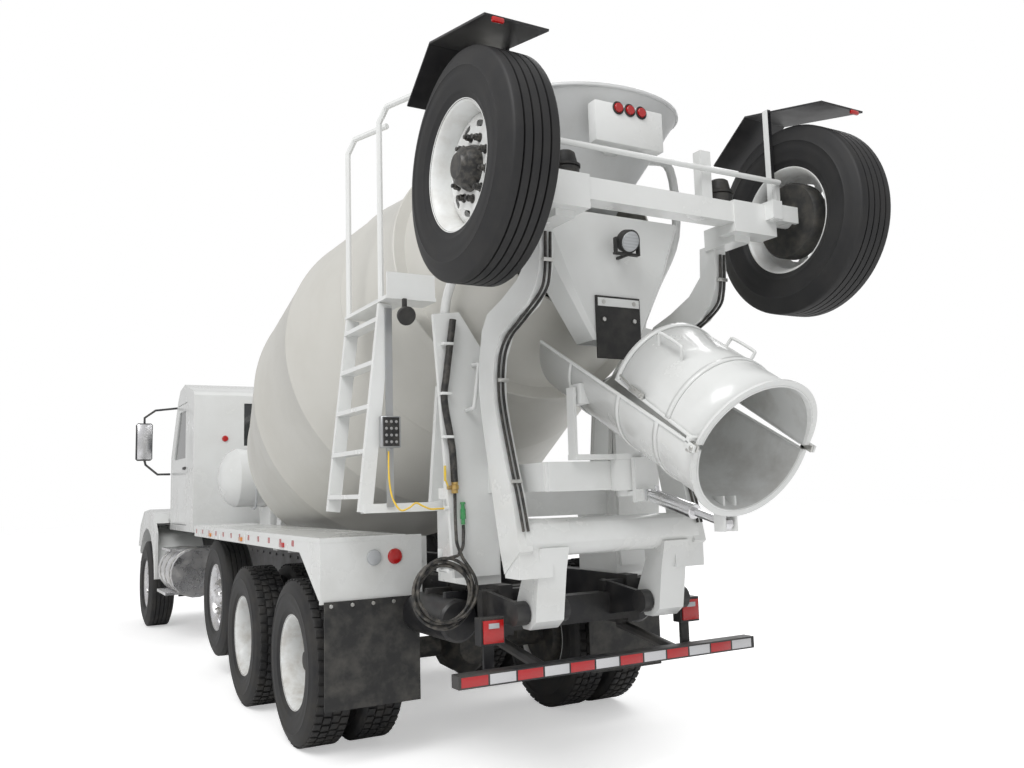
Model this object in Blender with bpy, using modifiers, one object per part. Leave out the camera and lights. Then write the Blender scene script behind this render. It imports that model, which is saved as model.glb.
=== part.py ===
"""Concrete mixer truck: a conventional cab on three carrying axles and a lifting pusher axle, an inclined
drum, a swinging discharge chute and a trailing booster axle folded up behind.

Metres, +Z up, +Y towards the cab, +X to the truck's right. Sizes and places below are in the truck's own
frame, whose origin is on the ground under the rearmost drive axle. The empty "truck_origin" moves the
finished truck so that the middle of its length is at Y = 0.
"""

import math

import bmesh
import bpy
from mathutils import Matrix, Vector

# ---------------------------------------------------------------- driving dimensions
SEAT = 0.0003  # gap left between two pieces that touch
OVERLAP = 0.004  # how far welded pieces run into each other

# chassis
RAIL_X = 0.430
RAIL_WIDTH = 0.085
RAIL_TOP = 1.060
RAIL_DEPTH = 0.270
RAIL_REAR_Y = -1.450
RAIL_FRONT_Y = 7.300
RAIL_BOTTOM = RAIL_TOP - RAIL_DEPTH

# wheels
TYRE_FACETS = 16
TYRE_RADIUS = 0.524  # to the middle of a flat facet
TYRE_WIDTH = 0.280
RIM_RADIUS = 0.2985  # over the flange of a 22.5 in rim
RIM_WIDTH = 0.230
DUAL_SPACING = 0.335
STEER_TYRE_RADIUS = 0.532
STEER_TYRE_WIDTH = 0.300
STEER_WHEEL_X = 1.095
PUSHER_WHEEL_X = 1.010
DRIVE_WHEEL_X = 0.9285  # middle of a dual pair
BOOSTER_WHEEL_X = 1.019

# axles
REAR_AXLE_Y = 0.0
AXLE_SPREAD = 1.374
FRONT_DRIVE_AXLE_Y = REAR_AXLE_Y + AXLE_SPREAD
PUSHER_AXLE_Y = 2.835
PUSHER_AXLE_Z = 0.683
STEER_AXLE_Y = 6.694
KINGPIN_X = 0.860

# drum, measured along its axis from the front edge of the belly
DRUM_FRONT = Vector((0.0, 2.510, 1.990))
DRUM_TILT = math.radians(15.7)
DRUM_AXIS = Vector((0.0, -math.cos(DRUM_TILT), math.sin(DRUM_TILT)))
DRUM_WALL = 0.012
DRUM_RING_RADIUS = 0.875
DRUM_RING_STATION = 3.577
DRUM_RING_WIDTH = 0.090

# deck
DECK_TOP = 1.330
DECK_OUTER_X = 1.240
DECK_INNER_X = 0.700
DECK_REAR_Y = -0.674
DECK_FRONT_Y = 3.300
DECK_SKIRT = 0.100
SHEET = 0.030

# cab
CAB_HALF_WIDTH = 1.040
CAB_REAR_Y = 4.546
CAB_FLOOR = 1.220
CAB_WALL = 0.045
DOOR_GAP = 0.006

# booster axle
BOOSTER_PIVOT = Vector((0.0, -1.753, 0.945))
BOOSTER_AXLE = Vector((0.0, -2.378, 3.036))
BOOSTER_ARM_X = 0.566
BOOSTER_ARM_WIDTH = 0.080
BOOSTER_KINGPIN_X = 0.830
BOOSTER_TYRE_RADIUS = 0.528

# chute: its two fold pins are its rear end, and it swings on a post under the collector
CHUTE_POST_Y = -2.030
CHUTE_SLOPE = math.radians(27.8)
FLIP_SLOPE = math.radians(31.0)  # of the folded extension
CHUTE_RADIUS = 0.300  # outside
CHUTE_WALL = 0.008
CHUTE_PINS = Vector((0.0, -2.970, 1.731))
CHUTE_LENGTH = 1.430
FLIP_LENGTH = 0.690
FLANGE = 0.030
FLIP_FLANGE_LEAN = 0.6 * math.tan(math.radians(12))
TILT_PIN = Vector((0.0, CHUTE_POST_Y, 2.060))
POST_TOP = 1.720
POST_BOTTOM = 1.560
POST_RADIUS = 0.093
CYLINDER_BASE = Vector((0.0, -2.225, 1.535))
ROD_EYE = Vector((0.0, -2.760, 1.400))

# the front end of the truck
BUMPER_FRONT_Y = 7.620

X_AXIS = Vector((1, 0, 0))
Y_AXIS = Vector((0, 1, 0))
Z_AXIS = Vector((0, 0, 1))
SIDES = (("left", -1), ("right", 1))


# ---------------------------------------------------------------- scene and materials
for old in list(bpy.data.objects):
    bpy.data.objects.remove(old, do_unlink=True)

truck = bpy.data.collections.new("concrete_mixer_truck")
workshop = bpy.data.collections.new("workshop")
bpy.context.scene.collection.children.link(truck)
bpy.context.scene.collection.children.link(workshop)

origin = bpy.data.objects.new("truck_origin", None)
truck.objects.link(origin)


def finish(name, color, roughness, metallic=0.0):
    """A Principled material of one colour."""
    made = bpy.data.materials.new(name)
    made.use_nodes = True
    shader = made.node_tree.nodes["Principled BSDF"]
    shader.inputs["Base Color"].default_value = (*color, 1)
    shader.inputs["Roughness"].default_value = roughness
    shader.inputs["Metallic"].default_value = metallic
    return made


WHITE = finish("white_paint", (0.80, 0.81, 0.80), 0.35)
DRUM_PAINT = finish("drum_paint", (0.55, 0.54, 0.50), 0.45)
BLACK_STEEL = finish("black_steel", (0.02, 0.02, 0.022), 0.45)
CAST_IRON = finish("cast_iron", (0.06, 0.06, 0.06), 0.6, 0.4)
RUBBER = finish("rubber", (0.02, 0.02, 0.02), 0.85)
POLISHED = finish("polished_aluminium", (0.80, 0.80, 0.82), 0.15, 1.0)
TRIM = finish("dark_trim", (0.03, 0.03, 0.035), 0.7)
YELLOW = finish("yellow_sheath", (0.85, 0.55, 0.03), 0.5)


# ---------------------------------------------------------------- modelling tools
def keep(mesh, name="blank"):
    """An object of this mesh in the workshop collection."""
    made = bpy.data.objects.new(name, mesh)
    workshop.objects.link(made)
    return made


def evaluated(obj):
    """The object as a plain welded mesh, with its modifiers applied. The object itself goes."""
    bpy.context.view_layer.update()
    graph = bpy.context.evaluated_depsgraph_get()
    mesh = bpy.data.meshes.new_from_object(obj.evaluated_get(graph))
    mesh.transform(obj.matrix_world)
    made = keep(mesh)
    bpy.data.objects.remove(obj, do_unlink=True)
    work = bmesh.new()
    work.from_mesh(mesh)
    bmesh.ops.remove_doubles(work, verts=work.verts, dist=0.00002)
    work.to_mesh(mesh)
    work.free()
    return made


def block(size, at, bevel=0.0, turn=None):
    """A box of this size, centred at a point, with its edges chamfered, turned by a matrix about its centre."""
    work = bmesh.new()
    bmesh.ops.create_cube(work, size=1.0)
    bmesh.ops.scale(work, vec=size, verts=work.verts)
    mesh = bpy.data.meshes.new("block")
    work.to_mesh(mesh)
    work.free()
    made = keep(mesh)
    if bevel:
        edge = made.modifiers.new("edges", "BEVEL")
        edge.width = bevel
        edge.segments = 1
        made = evaluated(made)
    if turn is not None:
        made.data.transform(turn.to_4x4())
    made.data.transform(Matrix.Translation(at))
    return made


FACINGS = {
    "x": Matrix(((0, 0, 1), (1, 0, 0), (0, 1, 0))),
    "y": Matrix(((1, 0, 0), (0, 0, -1), (0, 1, 0))),
    "z": Matrix.Identity(3),
}


def plate(outline, thickness, facing, at=(0, 0, 0)):
    """A flat outline given a thickness. Its points are (y, z) facing x, (x, z) facing y, or (x, y) facing z."""
    curve = bpy.data.curves.new("plate", "CURVE")
    curve.dimensions = "2D"
    curve.fill_mode = "BOTH"
    curve.extrude = thickness / 2
    line = curve.splines.new("POLY")
    line.points.add(len(outline) - 1)
    for point, (across, up) in zip(line.points, outline):
        point.co = (across, up, 0, 1)
    line.use_cyclic_u = True
    made = bpy.data.objects.new("plate", curve)
    workshop.objects.link(made)
    made.matrix_world = Matrix.Translation(at) @ FACINGS[facing].to_4x4()
    return evaluated(made)


def tube(points, radius, sides=8):
    """A round bar along these points, with flat ends."""
    curve = bpy.data.curves.new("tube", "CURVE")
    curve.dimensions = "3D"
    curve.bevel_depth = radius
    curve.bevel_resolution = sides // 2 - 2
    curve.use_fill_caps = True
    line = curve.splines.new("POLY")
    line.points.add(len(points) - 1)
    for point, place in zip(line.points, points):
        point.co = (*place, 1)
    made = bpy.data.objects.new("tube", curve)
    workshop.objects.link(made)
    return evaluated(made)


def turned(profile, base, axis, steps=24, first=0.5):
    """A solid turned about an axis through base. The closed profile lists (radius, height along the axis)."""
    work = bmesh.new()
    ring = [work.verts.new((radius, 0, height)) for radius, height in profile]
    ends_on_axis = profile[0][0] == 0 and profile[-1][0] == 0
    for start, end in zip(ring, ring[1:] if ends_on_axis else ring[1:] + ring[:1]):
        work.edges.new((start, end))
    mesh = bpy.data.meshes.new("turned")
    work.to_mesh(mesh)
    work.free()
    made = keep(mesh)
    spin = made.modifiers.new("turn", "SCREW")
    spin.axis = "Z"
    spin.steps = spin.render_steps = steps
    spin.use_merge_vertices = True
    spin.merge_threshold = 0.0001
    made = evaluated(made)
    made.data.transform(Matrix.Rotation(first * 2 * math.pi / steps, 4, "Z"))
    made.data.transform(Vector(axis).to_track_quat("Z", "Y").to_matrix().to_4x4())
    made.data.transform(Matrix.Translation(base))
    work = bmesh.new()
    work.from_mesh(made.data)
    bmesh.ops.recalc_face_normals(work, faces=work.faces)
    work.to_mesh(made.data)
    work.free()
    return made


def disc(radius, start, end, steps=16):
    """A round bar between two points."""
    start, end = Vector(start), Vector(end)
    length = (end - start).length
    return turned([(0, length), (radius, length), (radius, 0), (0, 0)], start, end - start, steps)


def combine(pieces, operation):
    """The first piece joined with, or cut by, the others in turn."""
    made = pieces[0]
    for tool in pieces[1:]:
        tool.hide_render = True
        tool.display_type = "WIRE"
        step = made.modifiers.new("step", "BOOLEAN")
        step.operation = operation
        step.solver = "EXACT"
        step.object = tool
        made = evaluated(made)
        bpy.data.objects.remove(tool, do_unlink=True)
    return made


def weld(*pieces):
    return combine(list(pieces), "UNION")


def cut(body, *cutters):
    return combine([body, *cutters], "DIFFERENCE")


def place(name, piece, material):
    """The finished piece as the truck's named node."""
    workshop.objects.unlink(piece)
    truck.objects.link(piece)
    piece.name = piece.data.name = name
    piece.parent = origin
    piece.data.materials.clear()
    piece.data.materials.append(material)
    return piece


def drum_point(station, radius=0.0, angle=0.0):
    """A point on the drum: station along its axis, and angle from straight down towards the right."""
    down = Vector((0, -math.sin(DRUM_TILT), -math.cos(DRUM_TILT)))
    return DRUM_FRONT + DRUM_AXIS * station + radius * (down * math.cos(angle) + X_AXIS * math.sin(angle))


# ---------------------------------------------------------------- wheels
def tyre_section(radius, width, middle):
    """Profile points of a tyre from its outboard to its inboard bead."""
    outer = radius / math.cos(math.pi / TYRE_FACETS)
    half = width / 2
    side = [(RIM_RADIUS, RIM_WIDTH / 2), (0.400, half), (outer - 0.030, half - 0.012), (outer, half - 0.045)]
    return [(r, middle + h) for r, h in side] + [(r, middle - h) for r, h in reversed(side)]


def single_wheel(centre, outboard, radius, width, disc_at=0.060, hub_out=0.130, hub_in=-0.100):
    """A tyre on one rim. Heights are outboard of the tyre's middle."""
    profile = [(0, hub_out), (0.085, hub_out), (0.120, disc_at), (0.235, disc_at),
               (0.262, RIM_WIDTH / 2 - 0.02)]
    profile += tyre_section(radius, width, 0)
    profile += [(0.262, 0.02 - RIM_WIDTH / 2), (0.250, disc_at - 0.02), (0.140, disc_at - 0.02)]
    profile += [(0.140, hub_in), (0, hub_in)]
    return turned(profile, centre, X_AXIS * outboard, TYRE_FACETS)


def dual_wheels(centre, outboard):
    """Two tyres on a pair of rims bolted to one hub, whose discs meet at the middle."""
    edge = (DUAL_SPACING + RIM_WIDTH) / 2
    profile = [(0, 0.210), (0.100, 0.210), (0.125, 0.010), (0.235, 0.010), (0.262, 0.060),
               (0.262, edge - 0.02)]
    profile += tyre_section(TYRE_RADIUS, TYRE_WIDTH, DUAL_SPACING / 2)
    profile += tyre_section(TYRE_RADIUS, TYRE_WIDTH, -DUAL_SPACING / 2)
    profile += [(0.262, 0.02 - edge), (0.262, -0.060), (0.235, -0.010), (0.150, -0.010)]
    profile += [(0.150, -DUAL_HUB_IN), (0, -DUAL_HUB_IN)]
    return turned(profile, centre, X_AXIS * outboard, TYRE_FACETS)


DUAL_HUB_IN = 0.300
HUB_IN = 0.100
for side, sign in SIDES:
    for axle, axle_y in (("front", FRONT_DRIVE_AXLE_Y), ("rear", REAR_AXLE_Y)):
        pair = dual_wheels((sign * DRIVE_WHEEL_X, axle_y, TYRE_RADIUS), sign)
        place(f"drive_wheels_{axle}_{side}", pair, RUBBER)
    steer_centre = (sign * STEER_WHEEL_X, STEER_AXLE_Y, STEER_TYRE_RADIUS)
    place(f"steer_wheel_{side}", single_wheel(steer_centre, sign, STEER_TYRE_RADIUS, STEER_TYRE_WIDTH),
          RUBBER)
    pusher_centre = (sign * PUSHER_WHEEL_X, PUSHER_AXLE_Y, PUSHER_AXLE_Z)
    place(f"pusher_wheel_{side}", single_wheel(pusher_centre, sign, TYRE_RADIUS, TYRE_WIDTH), RUBBER)
    booster_centre = (sign * BOOSTER_WHEEL_X, BOOSTER_AXLE.y, BOOSTER_AXLE.z)
    booster_wheel = single_wheel(booster_centre, sign, BOOSTER_TYRE_RADIUS, TYRE_WIDTH)
    place(f"booster_wheel_{side}", booster_wheel, RUBBER)


# ---------------------------------------------------------------- chassis frame
def rail(sign):
    size = (RAIL_WIDTH, RAIL_FRONT_Y - RAIL_REAR_Y, RAIL_DEPTH)
    return block(size, (sign * RAIL_X, (RAIL_FRONT_Y + RAIL_REAR_Y) / 2, RAIL_TOP - RAIL_DEPTH / 2))


EAR_X = 0.396
EAR_WIDTH = 0.170
PIN_OUTER_X = 0.562
CROSS_MEMBERS = (-1.40, -0.70, 0.70, 2.10, 3.70, 5.20, 7.20)
rails = [rail(-1), rail(1)]
for cross_y in CROSS_MEMBERS:
    cross = block((2 * RAIL_X, 0.100, 0.160), (0, cross_y, RAIL_BOTTOM + 0.100))
    rails.append(cross)
# Each side of a booster ear is held by a cheek plate that carries a boss for the pivot pin.
for sign in (-1, 1):
    for inner, outer in ((EAR_X + EAR_WIDTH / 2 + 0.006, PIN_OUTER_X),
                         (0.245, EAR_X - EAR_WIDTH / 2 - 0.006)):
        middle = (inner + outer) / 2
        boss = disc(0.062, (sign * inner, BOOSTER_PIVOT.y, BOOSTER_PIVOT.z),
                    (sign * outer, BOOSTER_PIVOT.y, BOOSTER_PIVOT.z))
        cheek = [(-1.36, 0.83), (-1.36, 1.04), (BOOSTER_PIVOT.y, BOOSTER_PIVOT.z + 0.05)]
        cheek += [(BOOSTER_PIVOT.y, BOOSTER_PIVOT.z - 0.05)]
        rails += [plate(cheek, 0.030, "x", (sign * middle, 0, 0)), boss]
    header = block((0.330, 0.060, 0.200), (sign * 0.404, -1.400, 0.935))
    rails.append(header)
place("frame_rails", weld(*rails), BLACK_STEEL)

# ---------------------------------------------------------------- bumpers and guards
BUMPER = [(-1.20, 7.30), (-1.20, 7.46), (-1.02, BUMPER_FRONT_Y), (1.02, BUMPER_FRONT_Y), (1.20, 7.46),
          (1.20, 7.30)]
BUMPER += [(1.12, 7.31), (0.98, 7.44), (-0.98, 7.44), (-1.12, 7.31)]
bumper = [plate(BUMPER, 0.330, "z", (0, 0, 0.610))]
for sign in (-1, 1):
    bumper.append(block((0.070, 0.200, 0.180), (sign * RAIL_X, RAIL_FRONT_Y + SEAT + 0.100, 0.800)))
place("front_bumper", weld(*bumper), POLISHED)

LAMP_X = 0.650
guard = [block((1.894, 0.080, 0.065), (0, -1.860, 0.670))]
for sign in (-1, 1):
    guard += [
        tube([(sign * RAIL_X, -1.300, RAIL_BOTTOM - 0.032), (sign * RAIL_X, -1.840, 0.670)], 0.030),
        block((0.080, 0.160, 0.020), (sign * RAIL_X, -1.300, RAIL_BOTTOM - SEAT - 0.010)),
        block((0.140, 0.070, 0.140), (sign * LAMP_X, -1.665, 0.860)),
        block((0.060, 0.020, 0.260), (sign * LAMP_X, -1.640, 0.760)),
        block((0.060, 0.220, 0.020), (sign * LAMP_X, -1.740, 0.660)),
    ]
place("underride_guard", weld(*guard), BLACK_STEEL)

# ---------------------------------------------------------------- axles
AXLE_TUBE = 0.070
for axle, axle_y in (("front", FRONT_DRIVE_AXLE_Y), ("rear", REAR_AXLE_Y)):
    end_x = DRIVE_WHEEL_X - DUAL_HUB_IN - SEAT
    pieces = [
        disc(AXLE_TUBE, (-end_x, axle_y, TYRE_RADIUS), (end_x, axle_y, TYRE_RADIUS)),
        turned(
            [(0, 0.21), (0.12, 0.20), (0.20, 0.08), (0.20, -0.08), (0.12, -0.20), (0, -0.21)],
            (0, axle_y, TYRE_RADIUS),
            Y_AXIS,
            12,
        ),
    ]
    for sign in (-1, 1):
        hanger_height = RAIL_BOTTOM - SEAT - TYRE_RADIUS
        pieces.append(block((0.100, 0.240, hanger_height),
                            (sign * RAIL_X, axle_y, TYRE_RADIUS + hanger_height / 2)))
    place(f"drive_axle_{axle}", weld(*pieces), BLACK_STEEL)

pusher_end = PUSHER_WHEEL_X - HUB_IN - SEAT
pusher = [
    disc(0.060, (-pusher_end, PUSHER_AXLE_Y, PUSHER_AXLE_Z), (pusher_end, PUSHER_AXLE_Y, PUSHER_AXLE_Z)),
]
for sign in (-1, 1):
    arm_height = RAIL_BOTTOM - SEAT - PUSHER_AXLE_Z
    pusher.append(block((0.090, 0.200, arm_height), (sign * RAIL_X, PUSHER_AXLE_Y,
                                                     PUSHER_AXLE_Z + arm_height / 2)))
place("pusher_axle", weld(*pusher), BLACK_STEEL)

BEAM_END_X = KINGPIN_X - 0.075
KNUCKLE_TOP = 0.640
steer_beam = [block((2 * BEAM_END_X, 0.110, 0.110), (0, STEER_AXLE_Y, 0.450))]
for sign in (-1, 1):
    spring_height = RAIL_BOTTOM - SEAT - 0.480
    steer_beam += [
        block((0.100, 0.500, 0.060), (sign * RAIL_X, STEER_AXLE_Y, 0.530)),
        block((0.080, 0.070, spring_height), (sign * RAIL_X, STEER_AXLE_Y + 0.180,
                                              0.480 + spring_height / 2)),
        block((0.080, 0.070, spring_height), (sign * RAIL_X, STEER_AXLE_Y - 0.180,
                                              0.480 + spring_height / 2)),
        block((0.060, 0.090, 0.220), (sign * (BEAM_END_X - 0.032), STEER_AXLE_Y, 0.560)),
        block((0.150, 0.070, 0.025), (sign * (KINGPIN_X - 0.040), STEER_AXLE_Y, KNUCKLE_TOP + SEAT + 0.0125)),
    ]
place("steer_axle", weld(*steer_beam), BLACK_STEEL)

TIE_ROD_REACH = 0.200
for side, sign in SIDES:
    hub_face = sign * (STEER_WHEEL_X - HUB_IN - SEAT)
    pin = (sign * KINGPIN_X, STEER_AXLE_Y, STEER_TYRE_RADIUS)
    knuckle = weld(
        disc(0.052, (pin[0], pin[1], 0.400), (pin[0], pin[1], KNUCKLE_TOP)),
        disc(0.050, pin, (hub_face, STEER_AXLE_Y, STEER_TYRE_RADIUS)),
        block((0.050, TIE_ROD_REACH + 0.030, 0.030), (pin[0], STEER_AXLE_Y - TIE_ROD_REACH / 2, 0.415)),
    )
    place(f"steer_knuckle_{side}", knuckle, CAST_IRON)
tie_y = STEER_AXLE_Y - TIE_ROD_REACH
place("tie_rod", disc(0.020, (-KINGPIN_X, tie_y, 0.374), (KINGPIN_X, tie_y, 0.374), 12), BLACK_STEEL)

# ---------------------------------------------------------------- engine, tanks and bumper-side pieces
engine = weld(
    block((0.600, 0.950, 0.640), (0, 6.600, 1.400), 0.040),
    block((0.780, 0.120, 0.080), (0, 6.600, RAIL_TOP + SEAT + 0.040)),
)
place("engine_block", engine, CAST_IRON)

FUEL_TANK_X = 0.965
FUEL_TANK_Z = 0.770
FUEL_TANK_RADIUS = 0.265
for side, sign in SIDES:
    reach = FUEL_TANK_X - RAIL_X - RAIL_WIDTH / 2 - SEAT
    tank = weld(
        disc(FUEL_TANK_RADIUS, (sign * FUEL_TANK_X, 4.700, FUEL_TANK_Z),
             (sign * FUEL_TANK_X, 5.650, FUEL_TANK_Z), 20),
        block((reach, 0.100, 0.220), (sign * (FUEL_TANK_X - reach / 2), 4.900, 0.920)),
        block((reach, 0.100, 0.220), (sign * (FUEL_TANK_X - reach / 2), 5.450, 0.920)),
        block((0.270, 0.620, 0.030), (sign * 1.120, 5.220, 0.545)),
        block((0.020, 0.560, 0.100), (sign * 1.060, 5.220, 0.590)),
        block((0.240, 0.620, 0.025), (sign * 1.090, 5.220, 1.020)),
    )
    place(f"fuel_tank_{side}", tank, POLISHED)

WATER_TANK_Y = 3.760
WATER_TANK_Z = 1.790
WATER_TANK_RADIUS = 0.305
WATER_PROFILE = [(0, 0.93), (0.14, 0.91), (0.25, 0.85), (WATER_TANK_RADIUS, 0.76)]
WATER_PROFILE += [(r, -h) for r, h in reversed(WATER_PROFILE)]
water = [turned(WATER_PROFILE, (0, WATER_TANK_Y, WATER_TANK_Z), X_AXIS, 20)]
for sign in (-1, 1):
    saddle = [(-0.22, RAIL_TOP + SEAT), (0.22, RAIL_TOP + SEAT), (0.24, 1.700), (-0.24, 1.700)]
    saddle = [(WATER_TANK_Y + y, z) for y, z in saddle]
    water.append(plate(saddle, 0.040, "x", (sign * RAIL_X, 0, 0)))
place("water_tank", weld(*water), WHITE)

# ---------------------------------------------------------------- drum and its pedestals
# station along the axis, radius
DRUM_SHELL = [(4.250, 0.600), (3.6220, 0.795), (3.5320, 0.822), (2.973, 0.989), (2.202, 1.148),
              (1.252, 1.149)]
DRUM_SHELL += [(0.0, 0.919), (-0.160, 0.700), (-0.300, 0.300)]
ring_out = DRUM_RING_STATION + DRUM_RING_WIDTH / 2
ring_in = DRUM_RING_STATION - DRUM_RING_WIDTH / 2
outside = [(DRUM_SHELL[0][1], DRUM_SHELL[0][0]), (0.795, ring_out), (DRUM_RING_RADIUS, ring_out)]
outside += [(DRUM_RING_RADIUS, ring_in), (0.822, ring_in)]
outside += [(r, s) for s, r in DRUM_SHELL[3:]] + [(0.300, -0.360), (0, -0.360)]
inside = [(0, -0.300 + DRUM_WALL), (0.290, -0.300 + DRUM_WALL)]
inside += [(r - DRUM_WALL, s) for s, r in reversed(DRUM_SHELL[3:8])] + [(0.600 - DRUM_WALL, 4.250)]
drum = turned(outside + inside, DRUM_FRONT, DRUM_AXIS, 24)
place("drum", drum, DRUM_PAINT)

gearbox = turned(
    [(0, -0.360 - SEAT), (0.240, -0.360 - SEAT), (0.260, -0.480), (0.200, -0.700), (0, -0.700)],
    DRUM_FRONT,
    DRUM_AXIS,
    16,
)
PEDESTAL = [(-0.52, RAIL_TOP + SEAT), (-0.40, 1.95), (-0.24, 2.16), (0.24, 2.16), (0.40, 1.95),
            (0.52, RAIL_TOP + SEAT)]
front_pedestal = weld(plate(PEDESTAL, 0.160, "y", (0, 3.080, 0)), gearbox)
front_pedestal = cut(front_pedestal, block((0.500, 0.400, 0.420), (0, 3.080, 1.330)))
place("front_pedestal", front_pedestal, WHITE)

# Behind the rear pedestal hang the keypad's cord, the water line and the wash-down hose.
PEDESTAL_FACE_Y = -1.365
LEG_FOOT_Z = 1.600
CORD_END = Vector((-0.7503, -1.350, 1.489))
COIL = Vector((-0.790, -1.425, 1.040))
COIL_RADIUS = 0.170
COIL_THICKNESS = 0.070
HOOK_Z = COIL.z + COIL_RADIUS - COIL_THICKNESS / 2 - 0.0125

# The drum's ring runs on two rollers, 35 degrees each side of straight down.
ROLLER_ANGLE = math.radians(35)
ROLLER_RADIUS = 0.105
roller_distance = DRUM_RING_RADIUS + ROLLER_RADIUS + 0.002
pedestal_parts = []
for sign in (-1, 1):
    centre = drum_point(DRUM_RING_STATION, roller_distance, sign * ROLLER_ANGLE)
    half = DRUM_AXIS * 0.050
    pedestal_parts += [
        disc(ROLLER_RADIUS, centre - half, centre + half, 16),
        disc(0.035, centre - DRUM_AXIS * 0.130, centre + DRUM_AXIS * 0.130, 12),
    ]
    for end in (-0.105, 0.105):
        eye = centre + DRUM_AXIS * end
        foot_y = eye.y
        cheek = [(-0.080, eye.z + 0.050), (0.080, eye.z + 0.050), (0.140, 1.500), (-0.140, 1.500)]
        pedestal_parts.append(plate([(sign * abs(centre.x) + x, z) for x, z in cheek], 0.040, "y",
                                    (0, foot_y, 0)))
    column = [(-1.340, RAIL_TOP + SEAT), (-1.340, 1.620), (-0.930, 1.620), (-0.930, RAIL_TOP + SEAT)]
    pedestal_parts.append(plate(column, 0.200, "x", (sign * 0.500, 0, 0)))
    wing = [(0.420, 1.110), (0.700, 1.110), (0.800, 2.570), (0.640, 2.590), (0.410, 2.250)]
    pedestal_parts.append(plate([(sign * x, z) for x, z in wing], 0.030, "y",
                                (0, PEDESTAL_FACE_Y + 0.015, 0)))
    pedestal_parts.append(block((0.130, 0.080, 0.060), (sign * 0.675, -1.300, LEG_FOOT_Z - 0.030)))
pedestal_parts.append(block((1.000, 0.120, 0.200), (0, -1.200, 1.520)))
# The arm that carries the chute's post: a box beam behind the left column, then across to the post.
ARM_HEIGHT = 0.150
ARM_Z = POST_BOTTOM + 0.005 + ARM_HEIGHT / 2
pedestal_parts += [
    block((0.120, 0.760, ARM_HEIGHT - 0.004), (-0.420, -1.590, ARM_Z)),
    block((0.440, 0.130, ARM_HEIGHT), (-0.250, -1.940, ARM_Z)),
    disc(POST_RADIUS, (0, CHUTE_POST_Y, POST_BOTTOM), (0, CHUTE_POST_Y, POST_TOP), 16),
    disc(0.014, (CORD_END.x + SEAT, CORD_END.y, CORD_END.z), (CORD_END.x + 0.080, CORD_END.y, CORD_END.z), 8),
    block((0.130, 0.016, 0.022), (COIL.x + 0.055, PEDESTAL_FACE_Y + 0.010, HOOK_Z)),
    disc(0.010, (COIL.x, PEDESTAL_FACE_Y + 0.006, HOOK_Z), (COIL.x, COIL.y - 0.045, HOOK_Z), 8),
]
place("rear_pedestal", weld(*pedestal_parts), WHITE)

# ---------------------------------------------------------------- hoppers and flap
def funnel(rings, wall):
    """An open shell whose outside passes these rings, each (centre, half width, half depth, corner cut)."""
    work = bmesh.new()
    loops = []
    for (x, y, z), wide, deep, corner in rings:
        corners = []
        for u, v in ((1, 1), (-1, 1), (-1, -1), (1, -1)):
            first = (x + u * wide, y + v * (deep - corner), z)
            second = (x + u * (wide - corner), y + v * deep, z)
            corners += [first, second] if u * v > 0 else [second, first]
        loops.append([work.verts.new(corner_point) for corner_point in corners])
    for lower, upper in zip(loops, loops[1:]):
        for k in range(8):
            work.faces.new((lower[k], lower[(k + 1) % 8], upper[(k + 1) % 8], upper[k]))
    bmesh.ops.recalc_face_normals(work, faces=work.faces)
    mesh = bpy.data.meshes.new("funnel")
    work.to_mesh(mesh)
    work.free()
    made = keep(mesh)
    thick = made.modifiers.new("wall", "SOLIDIFY")
    thick.thickness = wall
    thick.offset = -1
    thick.use_even_offset = True
    return evaluated(made)


HOPPER_WALL = 0.010
charge = funnel(
    [
        ((0, -1.720, 3.100), 0.17, 0.13, 0.05),
        ((0, -1.780, 3.360), 0.33, 0.22, 0.10),
        ((0, -1.830, 3.700), 0.55, 0.39, 0.17),
    ],
    HOPPER_WALL,
)
LEG_X = 0.700
LEG_Y = -1.304
hopper_parts = [charge]
for sign in (-1, 1):
    leg = [(LEG_X, LEG_Y, LEG_FOOT_Z + SEAT), (LEG_X, LEG_Y, 2.620), (LEG_X, -1.680, 3.100)]
    leg += [(0.600, -1.780, 3.480), (0.420, -1.800, 3.500)]
    hopper_parts.append(tube([(sign * x, y, z) for x, y, z in leg], 0.028))
# The box of three centre lamps hangs on the hopper's rear wall.
LAMP_BOX = Vector((-0.040, -2.205, 3.470))
hopper_parts.append(block((0.440, 0.070, 0.220), LAMP_BOX))
hopper_parts.append(block((0.080, 0.160, 0.050), (LAMP_BOX.x, LAMP_BOX.y + 0.090, 3.400)))
place("charge_hopper", weld(*hopper_parts), WHITE)

COLLECTOR_REAR_Y = -2.000
collector = funnel(
    [
        ((0, -1.900, 2.360), 0.150, 0.100, 0.02),
        ((0, -1.870, 2.700), 0.340, 0.130, 0.04),
        ((0, -1.815, 3.060), 0.500, 0.175, 0.06),
    ],
    HOPPER_WALL,
)
collector = cut(collector, block((0.560, 0.300, 0.800), (0, -1.640, 2.960)))
collector_parts = [collector]
for sign in (-1, 1):
    strut = [(0.460, PEDESTAL_FACE_Y - SEAT - 0.020, 2.050), (0.460, -1.500, 2.300), (0.400, -1.800, 2.810)]
    collector_parts.append(tube([(sign * x, y, z) for x, y, z in strut], 0.020))
place("discharge_hopper", weld(*collector_parts), WHITE)
flap_at = (0, COLLECTOR_REAR_Y - 0.0012 - 0.006, 2.430)
place("rubber_flap", block((0.290, 0.012, 0.340), flap_at), RUBBER)

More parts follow.
